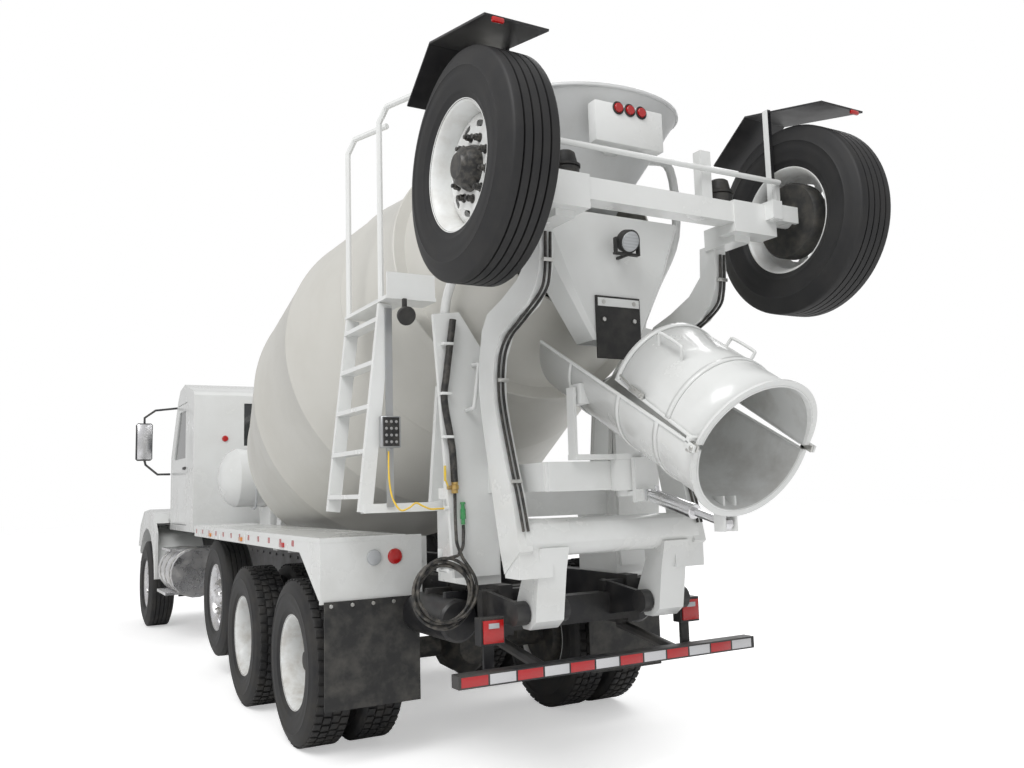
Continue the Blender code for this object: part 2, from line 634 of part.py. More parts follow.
# ---------------------------------------------------------------- ladder, platform and rails
LADDER_X = (-1.150, -1.020)
LADDER_Y = (-1.190, -0.650)
LADDER_Z = (1.480, 2.640)
RUNGS = 5
ladder = []
for ladder_y in LADDER_Y:
    foot = Vector((LADDER_X[0], ladder_y, LADDER_Z[0]))
    head = Vector((LADDER_X[1], ladder_y, LADDER_Z[1]))
    lean = math.atan2(head.x - foot.x, head.z - foot.z)
    turn = Matrix.Rotation(lean, 3, "Y")
    ladder.append(block((0.080, 0.030, (head - foot).length), (foot + head) / 2, 0.0, turn))
for k in range(RUNGS):
    share = (k + 0.35) / (RUNGS - 0.3)
    rung_x = LADDER_X[0] + share * (LADDER_X[1] - LADDER_X[0])
    rung_z = LADDER_Z[0] + share * (LADDER_Z[1] - LADDER_Z[0])
    middle_y = sum(LADDER_Y) / 2
    ladder.append(block((0.090, LADDER_Y[1] - LADDER_Y[0], 0.025), (rung_x, middle_y, rung_z)))
ladder.append(block((0.560, 0.060, 0.050), (-0.880, LADDER_Y[0] + 0.010, 1.500)))
place("ladder", weld(*ladder), WHITE)

PLATFORM_Z = 2.650
outline = [(-1.060, -1.320), (-0.760, -1.320), (-0.760, -1.130), (-0.900, -1.130), (-0.900, -0.620),
           (-1.060, -0.620)]
platform = [plate(outline, 0.020, "z", (0, 0, PLATFORM_Z + 0.010))]
platform.append(block((0.290, 0.012, 0.150), (-0.910, -1.312, PLATFORM_Z + 0.075)))
for rail_y in (-1.200, -0.660):
    top = 3.700
    hand_rail = [(-1.045, rail_y, PLATFORM_Z + 0.005), (-1.045, rail_y, top),
                 (-1.020, rail_y - 0.060, top + 0.080)]
    hand_rail += [(-0.900, rail_y - 0.300, top + 0.100)]
    platform.append(tube(hand_rail, 0.018))
place("platform", weld(*platform), WHITE)

# ---------------------------------------------------------------- decks and mud flaps
for side, sign in SIDES:
    wide = DECK_OUTER_X - DECK_INNER_X
    deck_length = DECK_FRONT_Y - DECK_REAR_Y
    middle_x = sign * (DECK_OUTER_X + DECK_INNER_X) / 2
    skirt = [(DECK_FRONT_Y, DECK_TOP - 0.005), (DECK_FRONT_Y, DECK_TOP - DECK_SKIRT),
             (-0.250, DECK_TOP - DECK_SKIRT)]
    skirt += [(-0.640, 0.970), (DECK_REAR_Y + 0.010, 0.970), (DECK_REAR_Y + 0.010, DECK_TOP - 0.005)]
    rear = block((0.645, 0.020, 0.380), (sign * 0.915, DECK_REAR_Y + 0.012, DECK_TOP - 0.194))
    deck = weld(
        block((wide, deck_length, SHEET), (middle_x, (DECK_FRONT_Y + DECK_REAR_Y) / 2, DECK_TOP - SHEET / 2)),
        plate(skirt, 0.020, "x", (sign * (DECK_OUTER_X - 0.012), 0, 0)),
        rear,
        block((wide + 0.230, 0.080, 0.060), (sign * (DECK_OUTER_X + DECK_INNER_X - 0.232) / 2, 2.600, 1.272)),
        block((wide + 0.230, 0.080, 0.060), (sign * (DECK_OUTER_X + DECK_INNER_X - 0.232) / 2, -0.400,
                                             1.272)),
        block((0.060, 0.070, 0.240), (sign * 0.485, 2.600, RAIL_TOP + SEAT + 0.120)),
        block((0.060, 0.070, 0.240), (sign * 0.485, -0.400, RAIL_TOP + SEAT + 0.120)),
    )
    place(f"deck_{side}", deck, WHITE)
    flap = block((0.598, 0.010, 0.620), (sign * 0.919, DECK_REAR_Y - 0.009, 0.650))
    place(f"mud_flap_{side}", flap, RUBBER)

# ---------------------------------------------------------------- cab
CAB_SIDE = [(CAB_REAR_Y, CAB_FLOOR), (CAB_REAR_Y, 2.740), (4.620, 2.800), (5.150, 2.920), (5.450, 2.880)]
CAB_SIDE += [(5.600, 2.760), (6.060, 2.100), (6.080, CAB_FLOOR)]
CAB_INNER = [(CAB_REAR_Y + CAB_WALL, CAB_FLOOR + CAB_WALL), (CAB_REAR_Y + CAB_WALL, 2.710), (4.650, 2.755)]
CAB_INNER += [(5.160, 2.872), (5.430, 2.838), (5.570, 2.735), (6.014, 2.090), (6.035, CAB_FLOOR + CAB_WALL)]
DOOR_REAR_Y = 4.960
DOOR_FRONT_Y = 5.940
DOOR_SILL = 1.290
DOOR_TOP = 2.700


def door_outline(margin):
    """The door's edge, drawn in by a margin: its front edge follows the windscreen pillar."""
    return [
        (DOOR_REAR_Y + margin, DOOR_SILL + margin),
        (DOOR_REAR_Y + margin, DOOR_TOP - margin),
        (5.560 - 0.6 * margin, DOOR_TOP - margin),
        (DOOR_FRONT_Y - margin, 2.120 - 0.3 * margin),
        (DOOR_FRONT_Y - margin, DOOR_SILL + margin),
    ]


DOOR_WINDOW = [(5.050, 2.060), (5.050, 2.610), (5.500, 2.610), (5.840, 2.090), (5.840, 2.060)]
cab = cut(
    plate(CAB_SIDE, 2 * CAB_HALF_WIDTH, "x"),
    plate(CAB_INNER, 2 * (CAB_HALF_WIDTH - CAB_WALL), "x"),
    plate(door_outline(0), 2 * CAB_HALF_WIDTH + 0.1, "x"),
    block((0.760, 0.300, 0.480), (-0.110, CAB_REAR_Y, 2.410)),
    block((1.780, 1.000, 0.560), (0, 5.990, 2.420)),
)
cab_mounts = [
    block((0.120, 0.120, 0.170), (sign * RAIL_X, mount_y, RAIL_TOP + SEAT + 0.085))
    for sign in (-1, 1)
    for mount_y in (4.700, 5.500)
]
place("cab_shell", weld(cab, *cab_mounts), WHITE)

for side, sign in SIDES:
    door = cut(
        plate(door_outline(DOOR_GAP), CAB_WALL, "x", (sign * (CAB_HALF_WIDTH - CAB_WALL / 2), 0, 0)),
        plate(DOOR_WINDOW, 0.2, "x", (sign * CAB_HALF_WIDTH, 0, 0)),
    )
    place(f"cab_door_{side}", door, WHITE)

seat_parts = [block((1.700, 0.900, 0.030), (0, 5.200, CAB_FLOOR + CAB_WALL + SEAT + 0.015))]
for sign in (-1, 1):
    seat_parts += [
        block((0.300, 0.300, 0.320), (sign * 0.480, 5.050, 1.440)),
        block((0.520, 0.500, 0.130), (sign * 0.480, 5.080, 1.640), 0.03),
        block((0.500, 0.130, 0.760), (sign * 0.480, 4.800, 2.020), 0.03),
    ]
seat_parts += [
    block((1.500, 0.260, 0.420), (0, 5.800, 1.800), 0.05),
    block((0.600, 0.160, 0.500), (0, 5.760, 1.530)),
    block((0.800, 0.400, 0.032), (0, 5.700, CAB_FLOOR + CAB_WALL + SEAT + 0.0165)),
    tube([(-0.480, 5.700, 1.850), (-0.480, 5.520, 1.990)], 0.030),
    disc(0.225, (-0.480, 5.520, 1.990), (-0.480, 5.500, 2.006), 16),
]
place("cab_interior", weld(*seat_parts), TRIM)

for side, sign in SIDES:
    mirror = weld(
        block((0.190, 0.090, 0.460), (sign * 1.361, 6.050, 2.300), 0.02),
        tube(
            [(sign * 1.360, 6.050, 2.400), (sign * 1.360, 6.050, 2.600), (sign * 1.240, 6.010, 2.690),
             (sign * (0.985), 5.720, 2.700)],
            0.014,
        ),
        tube([(sign * 1.360, 6.050, 2.100), (sign * 1.340, 6.050, 2.020), (sign * 1.200, 6.050, 1.900),
              (sign * (CAB_HALF_WIDTH + 0.012), 6.030, 1.900)], 0.014),
    )
    place(f"mirror_{side}", mirror, TRIM)

# ---------------------------------------------------------------- hood with its fenders
HOOD_BACK_Y = CAB_SIDE[-1][0] + 0.012
HOOD_SIDE = [(HOOD_BACK_Y, 1.130), (HOOD_BACK_Y, 2.060), (6.700, 1.960), (7.300, 1.760), (7.500, 1.560),
             (7.520, 0.900)]
HOOD_SIDE += [(7.300, 0.900), (7.200, 1.130)]
HOOD_INNER = [(HOOD_BACK_Y - 0.1, 1.0), (HOOD_BACK_Y - 0.1, 2.020), (6.690, 1.920), (7.280, 1.725),
              (7.465, 1.540)]
HOOD_INNER += [(7.480, 0.8), (7.150, 0.8), (7.1, 1.0)]
FENDER_RADIUS = 0.700
FENDER_CENTRE = (STEER_AXLE_Y, STEER_TYRE_RADIUS)


def arch(radius, first, last, steps=8):
    """Points of an arc about the steered wheel, angles in degrees from the front."""
    points = []
    for k in range(steps + 1):
        angle = math.radians(first + (last - first) * k / steps)
        points.append((FENDER_CENTRE[0] + radius * math.cos(angle),
                       FENDER_CENTRE[1] + radius * math.sin(angle)))
    return points


hood = cut(plate(HOOD_SIDE, 1.300, "x"), plate(HOOD_INNER, 1.220, "x"))
fenders = []
for sign in (-1, 1):
    band = arch(FENDER_RADIUS + 0.030, 32, 172) + list(reversed(arch(FENDER_RADIUS, 32, 172)))
    crown = [(5.960, 0.640), (5.960, 1.190), (6.095, 1.300), (6.150, 1.420), (6.480, 1.470), (7.000, 1.440)]
    crown += [(7.340, 1.250), (7.480, 0.980), (7.330, 0.980)] + arch(FENDER_RADIUS, 30, 172)
    fenders.append(plate(band, 0.600, "x", (sign * 0.925, 0, 0)))
    fenders.append(plate(crown, 0.030, "x", (sign * 1.205, 0, 0)))
    lid = [(HOOD_BACK_Y, 1.300), (6.150, 1.420), (6.480, 1.470), (7.000, 1.440), (7.340, 1.250),
           (7.480, 0.980)]
    lid += [(7.440, 0.982), (7.310, 1.230), (6.985, 1.412), (6.485, 1.440), (6.165, 1.388), (6.130, 1.300)]
    fenders.append(plate(lid, 0.590, "x", (sign * 0.928, 0, 0)))
# Inboard of the crowns the fenders end short of the cab, so that the hood tips forward past it.
hood = cut(weld(hood, *fenders), block((2.100, 0.300, 0.800), (0, 5.970, 0.950)))
place("hood", hood, WHITE)

# ---------------------------------------------------------------- booster axle
ARM_REAR = [(-2.210, 2.900), (-2.210, 2.750), (-2.195, 2.650), (-2.150, 2.570), (-2.060, 2.500),
            (-1.910, 2.450)]
ARM_REAR += [(-1.785, 2.390), (-1.710, 2.280), (-1.692, 2.180), (-1.695, 2.050), (-1.730, 1.920),
             (-1.785, 1.750)]
ARM_REAR += [(-1.860, 1.540), (-1.925, 1.270)]
ARM_FRONT = [(-1.757, 1.150), (-1.720, 1.260), (-1.660, 1.510), (-1.600, 1.750), (-1.550, 1.965),
             (-1.520, 2.140)]
ARM_FRONT += [(-1.540, 2.310), (-1.575, 2.450), (-1.640, 2.530), (-1.810, 2.580), (-1.980, 2.650),
              (-2.080, 2.740)]
ARM_FRONT += [(-2.090, 2.900)]
LEG = [(-1.925, 1.280), (-1.890, 1.150), (-1.850, 0.905), (-1.790, 0.860), (-1.720, 0.860), (-1.665, 0.920)]
LEG += [(-1.660, 1.000), (-1.745, 1.170), (-1.730, 1.280)]
booster = []
for sign in (-1, 1):
    booster += [
        plate(ARM_REAR + ARM_FRONT, BOOSTER_ARM_WIDTH, "x", (sign * BOOSTER_ARM_X, 0, 0)),
        plate(LEG, EAR_WIDTH, "x", (sign * EAR_X, 0, 0)),
        block((0.200, 0.150, 0.180), (sign * 0.500, -1.830, 1.220)),
        block((0.110, 0.240, 0.120), (sign * BOOSTER_ARM_X, -2.270, 2.930)),
    ]
booster += [
    disc(0.100, (-0.560, -1.825, 1.330), (0.560, -1.825, 1.330), 12),
    block((1.500, 0.110, 0.110), (0, BOOSTER_AXLE.y - 0.012, 3.010)),
    block((0.300, 0.130, 0.170), (-0.610, BOOSTER_AXLE.y - 0.010, 2.990)),
    block((0.300, 0.130, 0.170), (0.610, BOOSTER_AXLE.y - 0.010, 2.990)),
    block((0.070, 0.060, 0.340), (0.347, BOOSTER_AXLE.y + 0.031, 3.180)),
]
# A fork at each end of the beam holds the kingpin, which lies nearly level while the axle is folded up.
KINGPIN_AXIS = Vector((0, 0.9945, 0.1045))
KINGPIN_HALF = 0.095
for sign in (-1, 1):
    booster.append(block((0.070, 0.270, 0.100), (sign * 0.715, BOOSTER_AXLE.y, BOOSTER_AXLE.z)))
    for end in (-1, 1):
        cheek_at = BOOSTER_AXLE + KINGPIN_AXIS * end * (KINGPIN_HALF + 0.020)
        booster.append(block((0.190, 0.024, 0.090), (sign * 0.780, cheek_at.y, cheek_at.z)))
place("booster_frame", weld(*booster), WHITE)

BOOSTER_TIE_Z = 3.236
STEER_ARM_X = 0.850
GUARD = [(-1.900, 3.500), (-2.180, 3.700), (-2.740, 3.570), (-2.742, 3.580), (-2.180, 3.710), (-1.896, 3.508)]
for side, sign in SIDES:
    pin = Vector((sign * BOOSTER_KINGPIN_X, BOOSTER_AXLE.y, BOOSTER_AXLE.z))
    hub_face = sign * (BOOSTER_WHEEL_X - HUB_IN - SEAT)
    knuckle = weld(
        disc(0.042, pin - KINGPIN_AXIS * KINGPIN_HALF, pin + KINGPIN_AXIS * KINGPIN_HALF, 12),
        disc(0.048, pin, (hub_face, pin.y, pin.z), 12),
        block((0.030, 0.030, 0.240), (sign * STEER_ARM_X, pin.y, pin.z + 0.105)),
        block((0.024, 0.040, 0.600), (sign * 0.846, pin.y + 0.030, pin.z + 0.340)),
        plate(GUARD, 0.320, "x", (sign * 1.005, 0, 0)),
    )
    place(f"booster_knuckle_{side}", knuckle, BLACK_STEEL)
tie_end = (STEER_ARM_X, BOOSTER_AXLE.y - 0.015 - SEAT - 0.015, BOOSTER_TIE_Z)
place("booster_tie_rod", disc(0.015, (-tie_end[0], *tie_end[1:]), tie_end, 10), BLACK_STEEL)


# ---------------------------------------------------------------- chute
def arc_of(radius, steps=8):
    """Points of a half circle below the line through its ends, as (x, z)."""
    turn = math.pi / steps
    return [(-radius * math.cos(k * turn), -radius * math.sin(k * turn)) for k in range(steps + 1)]


def trough(length, over=1, lean=0.0):
    """A half pipe with a flange of this lean at its pin end. Over is -1 for one that opens down."""
    work = bmesh.new()
    rows = []
    for station in (0.0, length):
        row = []
        for x, z in arc_of(CHUTE_RADIUS):
            back = -z * lean if station == 0.0 else 0.0
            row.append(work.verts.new((x, station + 0.003 - back, over * (z - EDGE_DROP))))
        rows.append(row)
    for k in range(len(rows[0]) - 1):
        work.faces.new((rows[0][k], rows[0][k + 1], rows[1][k + 1], rows[1][k]))
    bmesh.ops.recalc_face_normals(work, faces=work.faces)
    mesh = bpy.data.meshes.new("trough")
    work.to_mesh(mesh)
    work.free()
    shell = keep(mesh)
    thick = shell.modifiers.new("wall", "SOLIDIFY")
    thick.thickness = CHUTE_WALL
    thick.offset = 0
    shell = evaluated(shell)
    band = arc_of(CHUTE_RADIUS + FLANGE) + list(reversed(arc_of(CHUTE_RADIUS - 0.002)))
    rim = plate([(x, over * (z - EDGE_DROP)) for x, z in band], 0.012, "y", (0, 0.012, 0))
    for corner in rim.data.vertices:
        corner.co.y -= abs(corner.co.z) * lean
    return [shell, rim]


def seat_on_pins(piece, slope):
    """Turns a piece from the chute's own frame, whose origin is between the pins, to its slope and place."""
    piece.data.transform(Matrix.Rotation(slope, 4, "X"))
    piece.data.transform(Matrix.Translation(CHUTE_PINS))
    return piece


EDGE_DROP = 0.012
chute_parts = trough(CHUTE_LENGTH)
for sign in (-1, 1):
    chute_parts += [
        block((0.012, 0.066, 0.032), (sign * 0.337, 0.017, 0)),
        block((0.037, 0.024, 0.022), (sign * 0.3185, 0.036, -0.024)),
        block((0.012, 0.024, 0.030), (sign * 0.337, 0.038, -0.018)),
        disc(0.010, (sign * 0.337, 0, 0), (sign * 0.366, 0, 0), 8),
    ]
for piece in chute_parts:
    seat_on_pins(piece, CHUTE_SLOPE)
for sign in (-1, 1):
    chute_parts.append(block((0.060, 0.110, 0.110), (sign * 0.284, TILT_PIN.y, TILT_PIN.z)))
    chute_parts.append(block((0.012, 0.070, 0.160), (sign * 0.034, ROD_EYE.y, ROD_EYE.z + 0.045)))
place("main_chute", weld(*chute_parts), WHITE)

flip_parts = trough(FLIP_LENGTH, -1, FLIP_FLANGE_LEAN)
for sign in (-1, 1):
    ear = weld(
        block((0.012, 0.066, 0.032), (sign * 0.3535, 0.017, 0)),
        block((0.054, 0.024, 0.018), (sign * 0.3265, 0.036, 0.029)),
        block((0.014, 0.022, 0.030), (sign * 0.3525, 0.038, 0.020)),
    )
    flip_parts.append(cut(ear, disc(0.0120, (sign * 0.346, 0, 0), (sign * 0.370, 0, 0), 8)))
for piece in flip_parts:
    seat_on_pins(piece, FLIP_SLOPE)
place("flip_chute", weld(*flip_parts), WHITE)

# The swing body caps the post and hooks down behind it; its two uprights carry the chute's tilt pins.
YOKE_X = 0.335
yoke_foot = POST_TOP + SEAT
hook_y = CHUTE_POST_Y - POST_RADIUS - 0.020
swing = [
    disc(0.100, (0, CHUTE_POST_Y, yoke_foot), (0, CHUTE_POST_Y, yoke_foot + 0.030), 16),
    block((2 * YOKE_X + 0.020, 0.070, 0.028), (0, CHUTE_POST_Y, yoke_foot + 0.015)),
    block((0.090, 0.030, 0.230), (0, hook_y, yoke_foot - 0.107)),
    disc(0.060, (0, CHUTE_POST_Y, POST_BOTTOM - 0.030), (0, CHUTE_POST_Y, POST_BOTTOM - SEAT), 12),
    block((0.080, 0.110, 0.024), (0, CHUTE_POST_Y - 0.055, POST_BOTTOM - 0.0155)),
]
for sign in (-1, 1):
    swing += [
        block((0.018, 0.062, 0.370), (sign * YOKE_X, CHUTE_POST_Y, yoke_foot + 0.188)),
        disc(0.020, (sign * 0.3143, TILT_PIN.y, TILT_PIN.z), (sign * YOKE_X, TILT_PIN.y, TILT_PIN.z), 10),
        block((0.012, 0.075, 0.060), (sign * 0.036, hook_y - 0.030, CYLINDER_BASE.z)),
    ]
place("chute_post", weld(*swing), WHITE)

# The lift cylinder's rod meets the chute between two lugs, with no pin through its eye.
BARREL_LENGTH = 0.330
ROD_RADIUS = 0.020
barrel_way = (ROD_EYE - CYLINDER_BASE).normalized()
barrel_profile = [(0, 0), (0.036, 0), (0.036, BARREL_LENGTH), (ROD_RADIUS + 0.0006, BARREL_LENGTH)]
barrel_profile += [(ROD_RADIUS + 0.0006, 0.040), (0, 0.040)]
barrel = turned(barrel_profile, CYLINDER_BASE + barrel_way * 0.010, barrel_way, 12)
barrel_foot = disc(0.028, CYLINDER_BASE - X_AXIS * 0.0295, CYLINDER_BASE + X_AXIS * 0.0295, 12)
place("lift_cylinder", weld(barrel, barrel_foot), BLACK_STEEL)
rod = weld(
    disc(ROD_RADIUS, CYLINDER_BASE + barrel_way * 0.145, ROD_EYE - barrel_way * 0.010, 12),
    disc(0.030, ROD_EYE - X_AXIS * 0.022, ROD_EYE + X_AXIS * 0.022, 12),
)
place("lift_rod", rod, POLISHED)

# ---------------------------------------------------------------- keypad, hoses and cord
KEYPAD = Vector((-1.018, -1.2415, 1.916))
post_y = LADDER_Y[0] - 0.020 - SEAT - 0.006
keypad = weld(
    block((0.118, 0.040, 0.176), KEYPAD, 0.006),
    block((0.040, 0.012, 1.110), (KEYPAD.x + 0.008, post_y, 2.060)),
    disc(0.012, (KEYPAD.x - 0.009, KEYPAD.y, KEYPAD.z - 0.086),
         (KEYPAD.x - 0.009, KEYPAD.y, KEYPAD.z - 0.106), 8),
)
place("keypad", keypad, TRIM)


def smooth_way(points, steps=4):
    """Points of a smooth curve through a route."""
    route = [Vector(point) for point in points]
    ends = [2 * route[0] - route[1]] + route + [2 * route[-1] - route[-2]]
    way = []
    for before, start, end, after in zip(ends, ends[1:], ends[2:], ends[3:]):
        for k in range(steps):
            t = k / steps
            way.append(
                0.5 * (2 * start + (end - before) * t + (2 * before - 5 * start + 4 * end - after) * t ** 2
                       + (3 * start - before - 3 * end + after) * t ** 3)
            )
    return way + [route[-1]]


KEYPAD_CORD = [
    (KEYPAD.x - 0.009, KEYPAD.y, KEYPAD.z - 0.106 - SEAT),
    (KEYPAD.x - 0.010, KEYPAD.y - 0.002, 1.770),
    (-1.033, -1.256, 1.700),
    (-1.034, -1.272, 1.620),
    (-1.024, -1.292, 1.545),
    (-0.990, -1.312, 1.488),
    (-0.945, -1.326, 1.500),
    (-0.910, -1.335, 1.524),
    (-0.875, -1.342, 1.508),
    (-0.830, -1.348, 1.489),
    (-0.785, -1.350, 1.489),
    tuple(CORD_END),
]
place("keypad_cord", tube(smooth_way(KEYPAD_CORD, 3), 0.005, 6), YELLOW)

# The water line runs down the pedestal in clips to a valve block, which feeds the wash-down hose.
HOSE_Y = PEDESTAL_FACE_Y - SEAT - 0.022
VALVE = Vector((-0.700, HOSE_Y, 1.600))
WATER_LINE = [(-0.690, HOSE_Y, 2.540), (-0.735, HOSE_Y, 2.235), (-0.752, HOSE_Y, 2.080),
              (-0.712, HOSE_Y, 1.830)]
WATER_LINE.append((VALVE.x, HOSE_Y, VALVE.z + 0.020))
water_line = weld(
    tube(smooth_way(WATER_LINE, 3), 0.020, 8),
    block((0.060, 0.0435, 0.060), VALVE, 0.006),
)
place("water_line", water_line, TRIM)

# Wound from the valve down to the hook, and back up to a spray nozzle clipped beside it.
HOSE_RADIUS = 0.009
COIL_OUTER = COIL_RADIUS + COIL_THICKNESS / 2
nozzle_x = -0.650
nozzle_y = PEDESTAL_FACE_Y - SEAT - 0.017
ring_section = [(COIL_OUTER, 0.020), (COIL_OUTER, -0.020), (COIL_RADIUS + 0.020, -0.035),
                (COIL_RADIUS - 0.020, -0.035)]
ring_section += [(COIL_RADIUS - 0.035, -0.020), (COIL_RADIUS - 0.035, 0.020), (COIL_RADIUS - 0.020, 0.035)]
ring_section.append((COIL_RADIUS + 0.020, 0.035))
place("wash_hose_coil", turned(ring_section, COIL, Y_AXIS, 20), RUBBER)


def coil_top(x):
    """The lowest height clear of the coil's outside at this distance across it."""
    return COIL.z + math.sqrt(COIL_OUTER ** 2 - (x - COIL.x) ** 2) + 0.004


DROP_X = -0.722
WASH_HOSE = [
    (VALVE.x, HOSE_Y, VALVE.z - 0.030 - SEAT),
    (VALVE.x - 0.001, HOSE_Y - 0.002, 1.520),
    (-0.706, HOSE_Y - 0.012, 1.440),
    (-0.712, COIL.y + 0.008, 1.360),
    (DROP_X, COIL.y, 1.300),
    (DROP_X, COIL.y, coil_top(DROP_X)),
]
place("wash_hose", tube(smooth_way(WASH_HOSE, 3), HOSE_RADIUS, 8), RUBBER)
TAIL_X = -0.676
WASH_HOSE_TAIL = [
    (TAIL_X, COIL.y, coil_top(TAIL_X)),
    (TAIL_X, COIL.y, 1.270),
    (TAIL_X + 0.006, COIL.y + 0.010, 1.310),
    (nozzle_x, nozzle_y, 1.370),
    (nozzle_x, nozzle_y, 1.397),
]
place("wash_hose_tail", tube(smooth_way(WASH_HOSE_TAIL, 3), HOSE_RADIUS, 8), RUBBER)
place("spray_nozzle", disc(0.017, (nozzle_x, nozzle_y, 1.400), (nozzle_x, nozzle_y, 1.520), 10), TRIM)

# The middle of the truck's length goes to Y = 0.
reach = [corner.co.y for piece in truck.objects if piece.type == "MESH" for corner in piece.data.vertices]
origin.location.y = -(min(reach) + max(reach)) / 2
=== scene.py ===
"""Concrete mixer truck with a folding booster axle: its finishes, its hoses and its small fittings.

Metres, +Z up, +Y to the cab, +X to the truck's right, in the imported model's own frame.
"""

import math

import bmesh
import bpy
from mathutils import Matrix, Vector


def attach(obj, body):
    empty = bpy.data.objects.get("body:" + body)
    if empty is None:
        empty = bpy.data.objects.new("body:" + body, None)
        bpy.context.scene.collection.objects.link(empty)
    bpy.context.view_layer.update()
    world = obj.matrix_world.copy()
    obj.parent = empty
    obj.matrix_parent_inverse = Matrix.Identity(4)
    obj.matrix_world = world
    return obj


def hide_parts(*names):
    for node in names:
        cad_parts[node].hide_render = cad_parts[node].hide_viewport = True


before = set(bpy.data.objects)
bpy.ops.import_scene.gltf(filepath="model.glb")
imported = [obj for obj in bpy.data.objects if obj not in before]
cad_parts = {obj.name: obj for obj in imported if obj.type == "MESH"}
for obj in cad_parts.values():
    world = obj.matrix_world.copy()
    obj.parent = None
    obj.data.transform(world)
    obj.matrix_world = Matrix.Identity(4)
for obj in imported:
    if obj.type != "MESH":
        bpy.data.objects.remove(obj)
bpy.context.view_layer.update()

# ------------------------------------------------------------------ camera and studio
# The truck stands on a plain pale floor under one broad soft lamp and an even white surround. The camera is
# low behind its left rear corner, looking slightly up at the folded axle and the chute.
CAMERA_AT = Vector((-2.873, -8.141, 1.574))
CAMERA_YAW = math.radians(29.39)
CAMERA_PITCH = math.radians(6.73)
CAMERA_ROLL = math.radians(-1.63)
ahead = Vector((
    math.sin(CAMERA_YAW) * math.cos(CAMERA_PITCH),
    math.cos(CAMERA_YAW) * math.cos(CAMERA_PITCH),
    math.sin(CAMERA_PITCH),
))
level = Vector((math.cos(CAMERA_YAW), -math.sin(CAMERA_YAW), 0))
upright = level.cross(ahead)
across = level * math.cos(CAMERA_ROLL) + upright * math.sin(CAMERA_ROLL)
above = upright * math.cos(CAMERA_ROLL) - level * math.sin(CAMERA_ROLL)
lens = bpy.data.cameras.new("camera")
lens.lens = 31.86
lens.sensor_width = 36.0
lens.clip_end = 200.0
camera = bpy.data.objects.new("camera", lens)
turned = Matrix((across, above, -ahead)).transposed().to_4x4()
camera.matrix_world = Matrix.Translation(CAMERA_AT) @ turned
bpy.context.scene.collection.objects.link(camera)
bpy.context.scene.camera = camera
bpy.context.scene.view_settings.view_transform = "Standard"

world = bpy.data.worlds.new("studio")
bpy.context.scene.world = world
world.use_nodes = True
surround = world.node_tree.nodes["Background"]
surround.inputs["Color"].default_value = (1.0, 1.0, 1.0, 1)
ray = world.node_tree.nodes.new("ShaderNodeLightPath")
seen = world.node_tree.nodes.new("ShaderNodeMath")
seen.operation = "MAXIMUM"
world.node_tree.links.new(ray.outputs["Is Camera Ray"], seen.inputs[0])
world.node_tree.links.new(ray.outputs["Is Transmission Ray"], seen.inputs[1])
level_of = world.node_tree.nodes.new("ShaderNodeMapRange")
level_of.inputs["To Min"].default_value = 0.62
level_of.inputs["To Max"].default_value = 1.0
world.node_tree.links.new(seen.outputs[0], level_of.inputs["Value"])
world.node_tree.links.new(level_of.outputs[0], surround.inputs["Strength"])

for place_at, size, power in (((-7.0, -9.0, 11.0), 7.0, 900.0), ((8.0, 3.0, 10.0), 8.0, 500.0)):
    lamp = bpy.data.lights.new("soft_lamp", "AREA")
    lamp.size = size
    lamp.energy = power
    lamp_object = bpy.data.objects.new("soft_lamp", lamp)
    towards = Vector((0, -1, 1.5)) - Vector(place_at)
    lamp_object.matrix_world = Matrix.Translation(place_at) @ towards.to_track_quat("-Z",
                                                                                    "Y").to_matrix().to_4x4()
    bpy.context.scene.collection.objects.link(lamp_object)


def shape(name, build, smooth_angle=35):
    """A mesh object from a bmesh, closed up, its normals outward and its edges over an angle left sharp."""
    bmesh.ops.remove_doubles(build, verts=build.verts, dist=0.00001)
    bmesh.ops.recalc_face_normals(build, faces=build.faces)
    mesh = bpy.data.meshes.new(name)
    build.to_mesh(mesh)
    build.free()
    mesh.shade_smooth()
    mesh.set_sharp_from_angle(angle=math.radians(smooth_angle))
    made = bpy.data.objects.new(name, mesh)
    bpy.context.scene.collection.objects.link(made)
    return made


floor_build = bmesh.new()
bmesh.ops.create_grid(floor_build, x_segments=1, y_segments=1, size=60.0)
floor = shape("floor", floor_build)
floor_finish = bpy.data.materials.new("floor_paint")
floor_finish.use_nodes = True
floor_shader = floor_finish.node_tree.nodes["Principled BSDF"]
floor_shader.inputs["Base Color"].default_value = (0.93, 0.93, 0.93, 1)
floor_shader.inputs["Roughness"].default_value = 0.9
floor_shader.inputs["Emission Color"].default_value = (1.0, 1.0, 1.0, 1)
floor_ray = floor_finish.node_tree.nodes.new("ShaderNodeLightPath")
floor_lift = floor_finish.node_tree.nodes.new("ShaderNodeMath")
floor_lift.operation = "MULTIPLY"
floor_lift.inputs[1].default_value = 0.42
floor_finish.node_tree.links.new(floor_ray.outputs["Is Camera Ray"], floor_lift.inputs[0])
floor_finish.node_tree.links.new(floor_lift.outputs[0], floor_shader.inputs["Emission Strength"])
floor.data.materials.append(floor_finish)


# ------------------------------------------------------------------ keypad cord
# A thin yellow control cord leaves the keypad's gland, hangs in a short loop and enters a gland on the
# pedestal's side plate. Its sheath is extruded plastic with a faint dust on top.
def socket_group(name, inputs, outputs):
    """A shader node group with named sockets, each (socket type, name, default or None)."""
    group = bpy.data.node_groups.new(name, "ShaderNodeTree")
    for kind, label, default in inputs:
        made = group.interface.new_socket(label, in_out="INPUT", socket_type=kind)
        if default is not None:
            made.default_value = default
    for kind, label in outputs:
        group.interface.new_socket(label, in_out="OUTPUT", socket_type=kind)
    return group, group.nodes.new("NodeGroupInput"), group.nodes.new("NodeGroupOutput")


